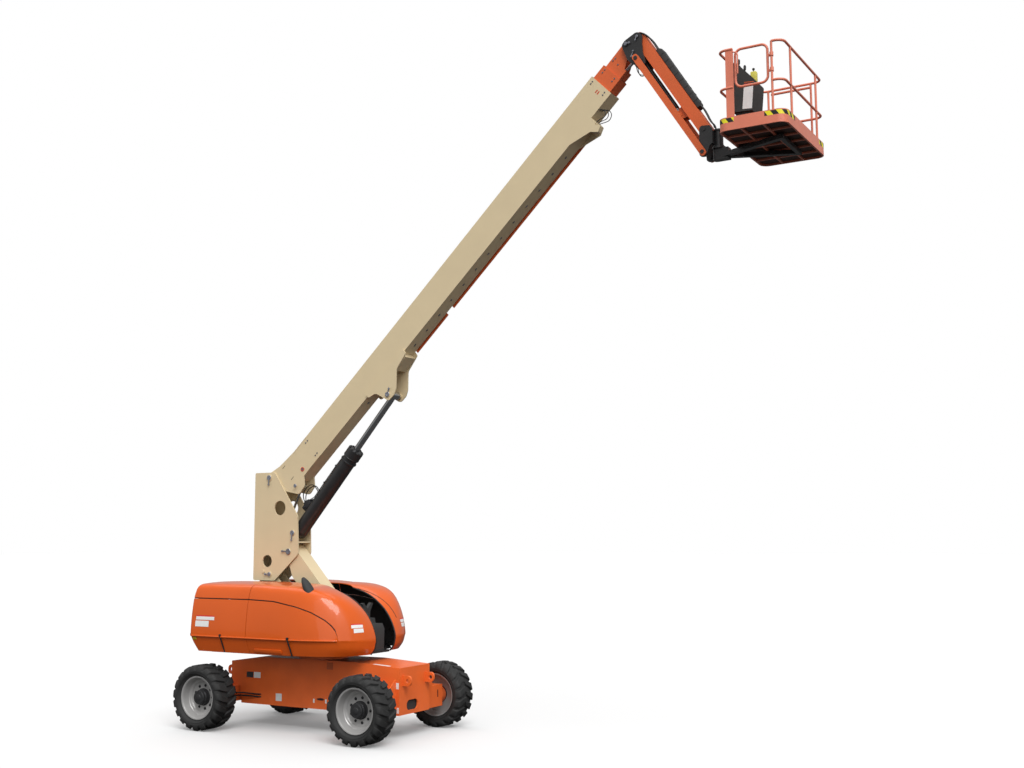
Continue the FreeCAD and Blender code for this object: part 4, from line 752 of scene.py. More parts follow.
def plate(name: str, width: float, height: float, placement: Matrix) -> bpy.types.Object:
    """A thin blank plate, centred on its placement, with a UV map across its face."""
    outline = rectangle(-width / 2, -height / 2, width / 2, height / 2)
    piece = prism(name, outline, 0, 0.0015, bevel=0.0005, segments=1)
    layer = piece.data.uv_layers.new(name="along")
    for loop in piece.data.loops:
        co = piece.data.vertices[loop.vertex_index].co
        layer.data[loop.index].uv = (co.x / width + 0.5, co.y / height + 0.5)
    return moved(piece, placement)


# ------------------------------------------------------------------ wheels
@dataclass
class Wheel:
    """One wheel: a lugged tyre, a dished rim, its hub and its nuts."""

    corner: str
    side: int
    radius: float = 0.503
    width: float = 0.425
    rim: float = 0.330
    lugs: int = 19
    carcass: float = 0.474
    middle: float = 1.0375
    hub: float = 0.118

    def placement(self) -> Matrix:
        """Turns the wheel's +Z to the outside of the machine, at the wheel's own middle."""
        low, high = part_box(f"{self.corner}_tyre")
        centre = Vector(((low.x + high.x) / 2, self.side * self.middle, (low.z + high.z) / 2))
        return Matrix.Translation(centre) @ Matrix.Rotation(-self.side * math.pi / 2, 4, "X")

    def lug_line(self, across: float) -> tuple[float, float, float]:
        """The outer radius, root radius and half width of a lug at a distance from the tyre's middle."""
        half = self.width / 2
        shoulder = max(0.0, (across - 0.78 * half) / (0.22 * half))
        top = self.radius - 0.0035 * (across / half) ** 2 - 0.062 * shoulder ** 2
        root = self.carcass_radius(across) - 0.006
        return top, root, 0.030 + 0.022 * min(1.0, across / (0.7 * half))

    def carcass_radius(self, across: float) -> float:
        """The radius of the smooth casing under the lugs."""
        half = self.width / 2
        share = min(1.0, across / half)
        return self.carcass - 0.012 * share ** 2 - 0.05 * max(0.0, (share - 0.8) / 0.2) ** 2.2

    def lug(self, mirror: int) -> bpy.types.Object:
        """One tread lug, from beside the middle line out over the shoulder."""
        half = self.width / 2
        stations = [0.006, 0.02, 0.06, 0.1, 0.14, 0.165, 0.185, 0.2, 0.2115]
        shape = bmesh.new()
        rows = []
        for across in stations:
            top, root, reach = self.lug_line(across)
            taper = 0.7 if across == stations[0] else 1.0
            slant = 0.42 * (across / half - 0.45) * (0.36 if across < 0.1 else 0.5)
            row = []
            for edge, height in ((-1.18, root), (-1.0, top - 0.006), (-0.86, top), (0.86, top),
                                 (1.0, top - 0.006), (1.18, root)):
                turn = slant + edge * reach * taper / self.radius
                spot = (height * math.cos(turn), height * math.sin(turn), mirror * across)
                row.append(shape.verts.new(spot))
            rows.append(row)
        for here, there in zip(rows, rows[1:]):
            for i in range(5):
                shape.faces.new((here[i], here[i + 1], there[i + 1], there[i]))
            shape.faces.new((here[5], here[0], there[0], there[5]))
        shape.faces.new(rows[0])
        shape.faces.new(rows[-1])
        return from_bmesh("lug", shape, 0.5)

    def tyre(self) -> bpy.types.Object:
        """The casing with its two rows of lugs."""
        half, seat = self.width / 2, self.rim
        side = [(seat - 0.008, 0.158), (seat + 0.012, 0.164), (seat + 0.03, 0.178),
                (seat + 0.06, half - 0.006), (seat + 0.085, half - 0.001),
                (self.carcass - 0.06, half - 0.003)]
        crown = [(self.carcass_radius(half * k), half * k * 0.985) for k in (0.97, 0.9, 0.75, 0.5, 0.25)]
        outer = side + crown
        profile = outer + [(self.carcass, 0.0)] + [(r, -z) for r, z in reversed(outer)]
        profile += [(seat - 0.012, -0.14), (seat - 0.012, 0.14)]
        casing = revolved("casing", profile, 96)
        rows = [ring("lugs", self.lug(mirror), self.lugs, 0.0, RUBBER, phase)
                for mirror, phase in ((1, 0.0), (-1, 0.5))]
        beads = [revolved("bead", [(seat + 0.045, z), (seat + 0.049, z + peak), (seat + 0.053, z)], 72)
                 for z, peak in ((half - 0.0085, 0.0035), (0.0085 - half, -0.0035))]
        return joined(f"{self.corner}_tread", [casing, *rows, *beads])

    def wheel_disc(self) -> bpy.types.Object:
        """The dished steel rim with its stepped well."""
        edge, depth = 0.172, 0.016
        front = [(self.rim, edge), (self.rim + 0.002, edge - 0.008), (self.rim - 0.006, edge - 0.016),
                 (self.rim - 0.020, edge - 0.020)]
        well = [(self.rim - 0.024, 0.08), (self.rim - 0.03, 0.0), (self.rim - 0.024, -0.10),
                (self.rim - 0.018, -0.152), (self.rim - 0.002, -0.160), (self.rim, -0.172),
                (self.rim - 0.012, -0.172)]
        dish = [(self.rim - 0.034, -0.12), (self.rim - 0.044, -0.02), (0.225, -depth), (0.128, -depth),
                (0.128, depth), (0.215, depth), (0.228, depth + 0.006), (0.238, depth + 0.022),
                (0.250, depth + 0.030), (0.266, depth + 0.034), (0.278, depth + 0.046),
                (0.284, depth + 0.075)]
        lip = [(self.rim - 0.032, edge - 0.045), (self.rim - 0.028, edge - 0.016),
               (self.rim - 0.020, edge - 0.004), (self.rim - 0.010, edge)]
        return revolved(f"{self.corner}_disc", front + well + dish + lip, 96)

    def build(self) -> None:
        """Builds the wheel and puts it on its body."""
        place, body = self.placement(), f"{self.corner}_wheel"
        tyre = moved(self.tyre(), place)
        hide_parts(f"{self.corner}_tyre")
        mounted(tyre, body, RUBBER)
        rim = moved(self.wheel_disc(), place)
        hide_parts(f"{self.corner}_rim")
        mounted(rim, body, RIM_GREY)
        reach = 0.148
        hub = revolved(f"{self.corner}_hub", [
            (0.0, -0.02), (0.132, -0.02), (0.132, 0.03), (self.hub, 0.034), (self.hub, 0.085),
            (self.hub - 0.006, 0.092), (0.104, 0.094), (0.104, 0.128), (0.098, 0.134), (0.05, 0.137),
            (0.045, reach - 0.003), (0.038, reach), (0.0, reach)], 48)
        mounted(moved(hub, place), body, CASTING)
        sets = [moved(ring("nuts", hex_bolt(size), number, circle, CASTING), Matrix.Translation((0, 0, high)))
                for size, number, circle, high in ((0.013, 9, 0.178, 0.016), (0.006, 10, 0.088, 0.134))]
        mounted(moved(joined(f"{self.corner}_nuts", sets), place), body, CASTING)


# ------------------------------------------------------------------ hoods
class Panel(Enum):
    """The two moulded panels of a hood, either side of the seam."""

    LID = "lid"
    SIDE = "side"


@dataclass
class Hood:
    """One glossy moulded hood: a lofted shell with a bulbous nose, parted along its seams."""

    side: int
    name: str
    short: float = 0.0
    inner: float = 0.350
    outer: float = 1.200
    low: float = 1.212
    crown: float = 2.272
    crease: float = 1.45
    corner: float = 0.035
    gap: float = 0.0085
    door: float = 1.19
    slope: float = 0.577
    wall: float = 0.012
    columns: int = 72
    rows: int = 15
    bend_from: float = -0.15
    straight: float = 0.52
    parting: tuple[float, float] = (0.377, 0.3805)
    crease_share: float = 11 / 14

    def section(self) -> list[tuple[float, float]]:
        """The cross-section (y, z) from the inner top edge down to the bottom edge."""
        return [(self.inner, self.crown), (0.62, self.crown + 0.002), (0.88, 2.264), (1.02, 2.248),
                (1.085, 2.205), (1.120, 2.12), (1.146, 2.01), (1.168, 1.88), (1.184, 1.74), (1.195, 1.60),
                (self.outer, 1.475), (self.outer, self.crease), (self.outer - 0.018, self.crease - 0.014),
                (1.150, 1.33), (self.outer - 0.092, self.low)]

    def nose_edge(self) -> list[tuple[float, float]]:
        """The inner edge of the nose (x, z), from the top to the bottom."""
        edge = [(0.47, 2.165), (0.70, 2.10), (0.86, 2.025), (0.98, 1.945), (1.08, 1.86), (1.155, 1.775),
                (1.205, 1.70), (1.245, 1.63), (1.275, 1.56), (1.292, 1.51), (1.302, 1.47), (1.305, 1.44),
                (1.303, 1.40), (1.275, 1.29), (1.205, self.low)]
        return [(x - self.short, z) for x, z in edge]

    @staticmethod
    def rear(z: float) -> float:
        """Where the rear wall stands at a height."""
        return sampled_at([(1.212, -1.630), (1.38, -1.712), (1.44, -1.722), (2.03, -1.720), (2.17, -1.704),
                           (2.30, -1.668)], z)

    def crown_drop(self, x: float) -> float:
        """How far the roof falls below its highest line at a station."""
        rear = max(0.0, -1.25 - x)
        front = max(0.0, x + 0.45 + self.short)
        return 0.035 * rear ** 1.6 + 0.10 * min(front, 1.2) ** 1.7

    def surface(self, u: float, v: float) -> Vector:
        """A point of the outer skin.

        Args:
            u: 0 at the rear end, 1 at the nose's inner edge.
            v: 0 at the inner top edge, 1 at the bottom edge.

        Returns:
            The point, on the left side of the machine.
        """
        y0, z0 = sampled(self.section(), v)
        x1, z1 = sampled(self.nose_edge(), v)
        start = self.rear(z0) + self.corner
        if u <= self.straight:
            x = start + (self.bend_from - start) * u / self.straight
            y, z = y0, z0
        else:
            t = (u - self.straight) / (1 - self.straight) * math.pi / 2
            x = self.bend_from + (x1 - self.bend_from) * math.sin(t) ** 0.92
            fall = 1 - math.cos(t) ** 0.95
            y = y0 + (self.inner - y0) * fall ** 1.25
            z = z0 + (z1 - z0) * fall ** 1.1
        share = max(0.0, min(1.0, (z - 1.6) / 0.6))
        if u <= self.straight:
            drop_here = self.crown_drop(x) * share
        else:
            drop_here = self.crown_drop(self.bend_from) * share * (1 - fall_of(u, self.straight))
        return Vector((x, y, z - drop_here))

    def reach(self, point: Vector) -> float:
        """How far forward a point lies for the seam, which sweeps back as the nose turns inwards."""
        return point.x + self.short + self.slope * (self.outer - point.y)

    def seam_height(self, reach: float) -> float:
        """The height of the seam between lid and side panel at a forward reach."""
        return sampled_at([(-1.9, 2.03), (-0.5, 2.03), (0.0, 2.012), (0.42, 1.94), (0.70, 1.865),
                           (0.95, 1.755), (1.07, 1.675), (1.14, 1.60), (1.17, 1.545), (self.door, 1.455),
                           (1.4, 1.45)], reach)

    def seam_share(self, u: float, shift: float = 0.0) -> float:
        """Where on the section the seam runs at a station, found by halving.

        Args:
            u: the station.
            shift: how far above the seam to look.

        Returns:
            The share of the section.
        """
        low, high = 0.0, 1.0
        for _ in range(30):
            middle = (low + high) / 2
            point = self.surface(u, middle)
            if point.z > self.seam_height(self.reach(point)) + shift:
                low = middle
            else:
                high = middle
        return (low + high) / 2

    def half_gap(self, u: float) -> float:
        """Half the height of the open seam at a station; it closes at the door's front corner."""
        reach = self.reach(self.surface(u, self.seam_share(u)))
        steep = (self.seam_height(reach - 0.02) - self.seam_height(reach + 0.02)) / 0.04
        return 0.0 if reach > self.door else self.gap * math.hypot(1.0, steep)

    def shares(self, panel: Panel, u: float) -> list[float]:
        """The shares of the section that a panel covers at a station."""
        half = self.half_gap(u)
        if panel is Panel.LID:
            first, last = 0.0, self.seam_share(u, half)
        else:
            first, last = self.seam_share(u, -half), 1.0
        spread = [first + (last - first) * k / self.rows for k in range(self.rows + 1)]
        if panel is Panel.SIDE:
            for wanted in (self.crease_share, 12 / 14):
                spread = with_share(spread, wanted)
        return spread

    def skin(self, panel: Panel, start: float, end: float) -> bpy.types.Object:
        """One panel of the skin between two stations."""
        shape = bmesh.new()
        count = max(3, round(self.columns * (end - start)))
        grid = []
        for i in range(count + 1):
            u = start + (end - start) * i / count
            grid.append([shape.verts.new(self.surface(u, v)) for v in self.shares(panel, u)])
        if start == 0.0:
            grid = self.rear_rings(shape, panel) + grid[1:]
        for here, there in zip(grid, grid[1:]):
            for k in range(self.rows):
                shape.faces.new((here[k], here[k + 1], there[k + 1], there[k]))
        return from_bmesh(f"{self.name}_{panel.value}_skin", shape, 0.7)

    def rear_rings(self, shape: bmesh.types.BMesh, panel: Panel) -> list[list[bmesh.types.BMVert]]:
        """The rounded corner round the rear wall, from the wall to the side, with the wall filled in."""
        outline = [self.surface(0.0, v) for v in self.shares(panel, 0.0)]
        rings = []
        for step in range(5, -1, -1):
            turn = step / 5 * math.pi / 2
            inset = self.corner * (1 - math.cos(turn))
            ring = []
            for k, point in enumerate(outline):
                before, after = outline[max(k - 1, 0)], outline[min(k + 1, len(outline) - 1)]
                along = Vector((0, after.y - before.y, after.z - before.z)).normalized()
                inward = Vector((0, along.z, -along.y))
                spot = point + inward * inset
                spot.x = self.rear(spot.z) + self.corner * (1 - math.sin(turn))
                ring.append(shape.verts.new(spot))
            rings.append(ring)
        edge, column = rings[0], []
        level = edge[0].co.z
        for vert in edge:
            level = min(level, vert.co.z)
            column.append(shape.verts.new((self.rear(level), self.inner, level)))
        for k in range(len(edge) - 1):
            shape.faces.new((column[k], column[k + 1], edge[k + 1], edge[k]))
        return rings

    def strip(self, name: str, spots: list[Vector], shift: Point, radius: float, faces: int,
              finish: Finish) -> None:
        """Lays a thin round strip along the skin, up to the door's front corner, and mounts it.

        Args:
            name: what the strip is called, after the hood's own name.
            spots: points of the skin along its line.
            shift: how far the strip stands off them.
            radius: the strip's radius.
            faces: how many faces go round it.
            finish: its finish.
        """
        line = [spot + Vector(shift) for spot in spots if self.reach(spot) < self.door]
        piece = hose(f"{self.name}_{name}", line, radius, finish, 3, faces)
        mounted(moved(piece, Matrix.Scale(self.side, 4, (0, 1, 0))), self.name, finish)

    def tangents(self, u: float, v: float) -> tuple[Vector, Vector, Vector]:
        """The skin's point, and how it moves with u and with v."""
        here = self.surface(u, v)
        return here, (self.surface(u + 0.01, v) - here) / 0.01, (self.surface(u, v + 0.01) - here) / 0.01

    def share_at(self, x: float, z: float) -> tuple[float, float]:
        """The u and v of a station and height on the flat side."""
        u, v = 0.3, 0.6
        for _ in range(8):
            here, along, down = self.tangents(u, v)
            u = min(max(u + (x - here.x) / along.x, 0.0), 0.98)
            v = min(max(v + (z - here.z) / down.z, 0.0), 0.98)
        return u, v

    def decal(self, at: tuple[float, float], wide: float, tall: float, finish: Finish) -> bpy.types.Object:
        """A blank plate that lies on the curved skin.

        Args:
            at: the u and v of its middle.
            wide: its width along the hood.
            tall: its height.
            finish: its finish.

        Returns:
            The plate, on the left side of the machine.
        """
        _, along, down = self.tangents(*at)
        out = along.cross(down).normalized()
        level = Vector((0, 0, 1)).cross(out).normalized()
        rise = out.cross(level)
        base = Matrix((along, down, out)).transposed().inverted()
        shape = bmesh.new()
        layer = shape.loops.layers.uv.new("along")
        grid, count = {}, 6
        for i in range(count + 1):
            for j in range(count + 1):
                across, up = i / count, j / count
                step = base @ (level * ((across - 0.5) * wide) + rise * ((up - 0.5) * tall))
                u, v = at[0] + step.x, at[1] + step.y
                spot, here_along, here_down = self.tangents(u, v)
                stand = here_along.cross(here_down).normalized() * 0.0022
                grid[i, j] = (shape.verts.new(spot + stand), (across, up))
        for i in range(count):
            for j in range(count):
                corners = [grid[i, j], grid[i + 1, j], grid[i + 1, j + 1], grid[i, j + 1]]
                face = shape.faces.new([vert for vert, _ in corners])
                for loop, (_, place) in zip(face.loops, corners):
                    loop[layer].uv = place
        return painted(as_drawn("decal", shape), finish)

    def build(self) -> None:
        """Builds the hood's panels, the lip along the crease and the rubber in the seam."""
        for panel in Panel:
            skins = [self.skin(panel, 0.0, self.parting[0]), self.skin(panel, self.parting[1], 1.0)]
            piece = joined(f"{self.name}_{panel.value}_shell", skins)
            thick = piece.modifiers.new("wall", "SOLIDIFY")
            thick.thickness = self.wall
            thick.offset = -1.0
            thick.material_offset = 1
            moved(piece, Matrix.Scale(self.side, 4, (0, 1, 0)))
            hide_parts(f"{self.name}_{panel.value}")
            mounted(piece, self.name, HOOD_ORANGE)
            piece.data.materials.append(PLASTIC.material())
        stations = [k / 90 for k in range(91)]
        lip = [self.surface(u, self.crease_share) for u in stations]
        self.strip("bead", lip, (0, 0.002, 0.002), 0.012, 10, HOOD_ORANGE)
        seam = [self.surface(u, self.seam_share(u)) for u in stations]
        self.strip("seal", seam, (-0.006, -0.010, 0), 0.0075, 8, TRIM_RUBBER)


def fall_of(u: float, straight: float) -> float:
    """How far round the nose a station is, from 0 to 1."""
    return 1 - math.cos((u - straight) / (1 - straight) * math.pi / 2)


def sampled(points: Sequence[tuple[float, float]], share: float) -> tuple[float, float]:
    """A point on a smooth line through evenly counted points, at a share of the count."""
    last = len(points) - 1
    place = min(max(share, 0.0), 1.0) * last
    i = min(int(place), last - 1)
    t = place - i
    knots = [Vector(points[min(max(i + k, 0), last)]) for k in (-1, 0, 1, 2)]
    line = (knots[1] * 2 + (knots[2] - knots[0]) * t
            + (knots[0] * 2 - knots[1] * 5 + knots[2] * 4 - knots[3]) * t * t
            + (knots[1] * 3 - knots[0] - knots[2] * 3 + knots[3]) * t ** 3) / 2
    return line.x, line.y


def sampled_at(points: Sequence[tuple[float, float]], x: float) -> float:
    """The height of a line of (x, height) points at a station."""
    for (x0, z0), (x1, z1) in zip(points, points[1:]):
        if x <= x1:
            t = max(0.0, (x - x0) / (x1 - x0))
            return z0 + (z1 - z0) * t
    return points[-1][1]


def with_share(shares: list[float], wanted: float) -> list[float]:
    """Moves the nearest of a list of shares onto a wanted one, so that a crease gets its own row."""
    nearest = min(range(1, len(shares) - 1), key=lambda k: abs(shares[k] - wanted))
    if shares[nearest - 1] < wanted < shares[nearest + 1]:
        shares[nearest] = wanted
    return shares


# ------------------------------------------------------------------ pins and plates
@dataclass
class Pin:
    """The end of a joint pin, held by a keeper bar and its bolt."""

    at: tuple[float, float]
    keeper: tuple[float, float] | None
    radius: float = 0.045
    stand: float = 0.008

    def pieces(self) -> list[bpy.types.Object]:
        """The pin's end, keeper and bolt, drawn on X, Y and standing on Z = 0."""
        r, h = self.radius, self.stand
        profile = [(0, 0), (r, 0), (r, h - 0.003), (r - 0.003, h), (r * 0.45, h), (r * 0.4, h - 0.002),
                   (r * 0.22, h - 0.002), (r * 0.18, h + 0.005), (0, h + 0.006)]
        made = [moved(revolved("end", profile, 40), Matrix.Translation((*self.at, 0)))]
        if self.keeper:
            seat = h * 0.4
            here, there = Vector(self.at), Vector(self.keeper)
            run = (there - here).normalized()
            side = Vector((-run.y, run.x))
            near, far = here + run * r * 0.55, there + run * 0.018
            wide = min(0.010, r * 0.32)
            bar = [near + side * wide, near - side * wide, far - side * wide, far + side * wide]
            made.append(prism("bar", [tuple(p) for p in bar], seat, seat + 0.008, 0.002))
            bolt = hex_bolt(min(0.011, r * 0.42))
            made.append(moved(bolt, Matrix.Translation((*self.keeper, seat + 0.008))))
        return made


def pin_set(name: str, body: str, pins: Sequence[Pin], half: float) -> None:
    """The same pins on both sides of a sub-assembly.

    Args:
        name: what the pins are called.
        body: the body that they ride on.
        pins: the pins, at their X and Z.
        half: the distance of the faces that they stand on from the middle plane.
    """
    for word, side in SIDES:
        parts = [piece for pin in pins for piece in pin.pieces()]
        mounted(moved(joined(f"{name}_{word}", parts), side_frame(half * side, side)), body, PIN_STEEL)


# ------------------------------------------------------------------ boom
@dataclass
class Line:
    """A straight member's own axes: along it, and square to it in the middle plane."""

    origin: tuple[float, float]
    angle: float

    def at(self, along: float, across: float, y: float = 0.0) -> Vector:
        """The point at a distance along and across the member."""
        c, s = math.cos(math.radians(self.angle)), math.sin(math.radians(self.angle))
        x, z = self.origin
        return Vector((x + along * c - across * s, y, z + along * s + across * c))

    def frame(self, along: float, across: float, y: float, side: int) -> Matrix:
        """A placement on the member's side: local X along it, Y across it and Z outwards."""
        return pitched(self.at(along, across, y), self.angle) @ side_frame(0.0, side)


BOOM = Line((-1.048, 3.944), 44.0)
JIB = Line((5.632, 10.083), -57.7)


@dataclass
class Boom:
    """The fittings of the three boom sections and of the boom's heel."""

    base_end: float = 8.235
    base_half: float = 0.140
    mid_half: float = 0.115
    fly_half: float = 0.090
    base_bolts: tuple[tuple[float, float], ...] = (
        (8.183, -0.105), (8.145, -0.106), (8.182, -0.383), (8.139, -0.385))
    mid_bolts: tuple[tuple[float, float], ...] = (
        (8.425, -0.13), (8.371, -0.128), (8.369, -0.349), (8.420, -0.352))
    fly_bolts: tuple[tuple[float, float], ...] = ((8.64, -0.135), (8.595, -0.127), (8.60, -0.235))

    def side_bolts(self) -> None:
        """The wear-pad bolts near the end of each section, on both sides."""
        sets = (("base", self.base_half, self.base_bolts), ("mid", self.mid_half, self.mid_bolts),
                ("fly", self.fly_half, self.fly_bolts))
        for name, half, spots in sets:
            places = [(BOOM.at(s, n, half * side), (0, side, 0)) for s, n in spots for _, side in SIDES]
            mounted(bolts(f"{name}_pad_bolts", places, 0.0075), f"boom_{name}")
        heel = [(BOOM.at(0.9 + 0.05 * i, n, self.base_half * side), (0, side, 0))
                for i in range(2) for n in (-0.11, -0.40) for _, side in SIDES]
        mounted(bolts("heel_pad_bolts", heel, 0.008), "boom_base")

    def marks(self) -> None:
        """Two red marks near the end of the base section, and the round tag on the heel."""
        for word, side in SIDES:
            y = self.base_half * side
            strips = [plate("strip", 0.055, 0.020, BOOM.frame(8.118, n, y, side)) for n in (-0.262, -0.302)]
            mounted(joined(f"red_marks_{word}", strips), "boom_base", RED_MARK)
            at = BOOM.frame(0.563, -0.376, y, side)
            disc = revolved(f"heel_tag_{word}", [(0.022, 0), (0.036, 0), (0.036, 0.004), (0.030, 0.006),
                                                 (0.022, 0.004)], 32)
            mounted(moved(disc, at), "boom_base", RED_MARK)
            face = revolved(f"heel_tag_face_{word}", [(0, 0), (0.0225, 0), (0.0225, 0.003), (0, 0.004)], 32)
            mounted(moved(face, at), "boom_base", BOLT_STEEL)
            slots = [moved(prism("slot", rectangle(-0.036, -0.004, 0.036, 0.004), 0, 0.001, 0),
                           BOOM.frame(s, n, y, side)) for s, n in ((0.31, -0.072), (0.318, -0.332))]
            mounted(joined(f"heel_slots_{word}", slots), "boom_base", CASTING)

    def welds(self) -> None:
        """The weld beads where the heel's side plates lie on the tube."""
        for word, side in SIDES:
            y = (self.base_half + 0.001) * side
            beads = [hose("bead", [BOOM.at(s0, n, y), BOOM.at(s1, n, y)], 0.0045, BEIGE_STEEL, 2, 8)
                     for s0, s1, n in ((0.60, 0.98, -0.045), (0.98, 0.60, -0.471))]
            mounted(joined(f"heel_weld_{word}", beads), "boom_base", BEIGE_STEEL)

    def lip(self) -> None:
        """The collar of wear pads round the end of the base and mid sections."""
        for name, end, half, top, low in (("base", self.base_end, self.base_half, -0.04, -0.476),
                                          ("mid", 8.465, self.mid_half, -0.064, -0.432)):
            inner = half - 0.012
            blocks = [moved(rounded_box("pad", (-0.09, -inner, n0), (0.004, inner, n1), 0.002),
                            pitched(BOOM.at(end, 0), BOOM.angle))
                      for n0, n1 in ((top - 0.02, top - 0.009), (low + 0.009, low + 0.02))]
            mounted(joined(f"{name}_end_pads", blocks), f"boom_{name}", PLASTIC)

    def clips(self) -> None:
        """The clips along the lower face of the base section."""
        path = path_of([BOOM.at(2.14, -0.478), BOOM.at(7.1, -0.478)], 2)
        piece = rounded_box("clip", (-0.02, -0.012, -0.005), (0.02, 0.012, 0.004), 0.002)
        row = grown("underside_clips", path, Repeats.row(), Piece=piece, Pitch=0.306,
                    Finish=BOLT_STEEL.material())
        mounted(row, "boom_base", BOLT_STEEL)

    def hose_loops(self) -> None:
        """The hoses that hang from the bracket under the base section."""
        loops = []
        for k in range(3):
            y, wide = -0.13 + 0.05 * k, 0.02 * k
            points = [BOOM.at(s, n, y) for s, n in (
                (7.935, -0.470), (7.985 + wide, -0.52), (7.990 + wide, -0.60 - wide), (7.93, -0.645 - wide),
                (7.86, -0.60 - wide), (7.79, -0.585))]
            loops.append(hose("loop", points, 0.006))
        mounted(joined("end_hose_loops", loops), "boom_base", HOSE_RUBBER)

    def build(self) -> None:
        """Builds the boom's fittings."""
        self.side_bolts()
        self.marks()
        self.welds()
        self.lip()
        self.clips()
        self.hose_loops()
        pin_set("upright_pins", "upright", [
            Pin(BOOM.origin, (-1.045, 3.833), 0.042), Pin((-0.539, 3.046), (-0.545, 2.931), 0.040),
            Pin((-0.615, 2.746), (-0.732, 2.752), 0.048),
            Pin((-1.007, 2.379), (-1.084, 2.38), 0.034)], 0.1825)
        master = BOOM.at(0.297, -0.488)
        pin_set("master_pins", "boom_base", [Pin((master.x, master.z), None, 0.03)], 0.182)
        lug = BOOM.at(2.561, -0.755)
        keeper = (lug.x + 0.035, lug.z + 0.085)
        pin_set("lift_lug_pins", "boom_base", [Pin((lug.x, lug.z), keeper, 0.040)], 0.182)


# ------------------------------------------------------------------ cylinders
@dataclass
class LiftCylinder:
    """The boom lift cylinder's gland bolts, valve block and feed tubes."""

    base: tuple[float, float] = (-0.539, 3.046)
    angle: float = 48.957
    length: float = 1.72
    radius: float = 0.120
    gland: float = 0.133

    def build(self) -> None:
        """Builds the fittings on the barrel."""
        line = Line(self.base, self.angle)
        axis = line.at(1, 0) - line.at(0, 0)
        heads = ring("gland_bolts", hex_bolt(0.011), 10, 0.108, CASTING)
        mounted(moved(heads, facing(axis, line.at(self.length, 0))), "lift_barrel", CASTING)
        rings = []
        for at, half in ((1.50, 0.012), (1.58, 0.008)):
            band = revolved("band", [
                (self.radius - 0.004, -half), (self.gland, -half), (self.gland + 0.003, -half * 0.5),
                (self.gland + 0.003, half * 0.5), (self.gland, half), (self.radius - 0.004, half)], 48)
            rings.append(moved(band, facing(axis, line.at(at, 0))))
        mounted(joined("lift_gland_rings", rings), "lift_barrel", BLACK_STEEL)
        lay = pitched(line.at(0, 0), self.angle)
        self.valve(lay)
        self.tubes(line)
        bands = [moved(rounded_box("clip", (x - 0.012, -0.05, 0.112), (x + 0.012, 0.05, 0.142), 0.004), lay)
                 for x in (0.95, 1.3)]
        mounted(joined("lift_tube_clips", bands), "lift_barrel", BLACK_STEEL)

    @staticmethod
    def valve(lay: Matrix) -> None:
        """The valve block with its ports, laid along the barrel."""
        block = rounded_box("block", (0.36, -0.055, 0.112), (0.54, 0.055, 0.20), 0.006)
        port = rounded_box("port", (0.42, -0.04, 0.195), (0.49, 0.04, 0.235), 0.006)
        caps = []
        for x, y, axis in ((0.54, -0.025, "Y"), (0.54, 0.025, "Y"), (0.40, -0.055, "X")):
            cap = revolved("cap", [(0, 0), (0.016, 0), (0.016, 0.03), (0.012, 0.034), (0, 0.034)], 16)
            turn = Matrix.Rotation(math.pi / 2, 4, axis)
            caps.append(moved(cap, Matrix.Translation((x, y, 0.16)) @ turn))
        mounted(moved(joined("lift_valve_block", [block, port, *caps]), lay), "lift_barrel", CASTING)

    def tubes(self, line: Line) -> None:
        """The steel feed tubes along the barrel and the hose loops at the valve block."""
        clear, runs = self.radius + 0.012, []
        for y in (-0.03, 0.03):
            points = [line.at(s, n, y) for s, n in (
                (0.53, 0.16), (0.60, 0.16), (0.62, clear), (0.70, clear), (1.47, clear),
                (1.49, clear - 0.02))]
            runs.append(hose("tube", points, 0.007, BLACK_STEEL))
        for y, high in ((-0.02, 0.33), (0.02, 0.30)):
            points = [line.at(s, n, y) for s, n in (
                (0.45, 0.23), (0.48, high), (0.62, high + 0.05), (0.78, high - 0.02), (0.76, 0.16),
                (0.74, 0.115))]
            runs.append(hose("loop", points, 0.008))
        piece = joined("lift_feed_tubes", runs)
        mounted(piece, "lift_barrel")


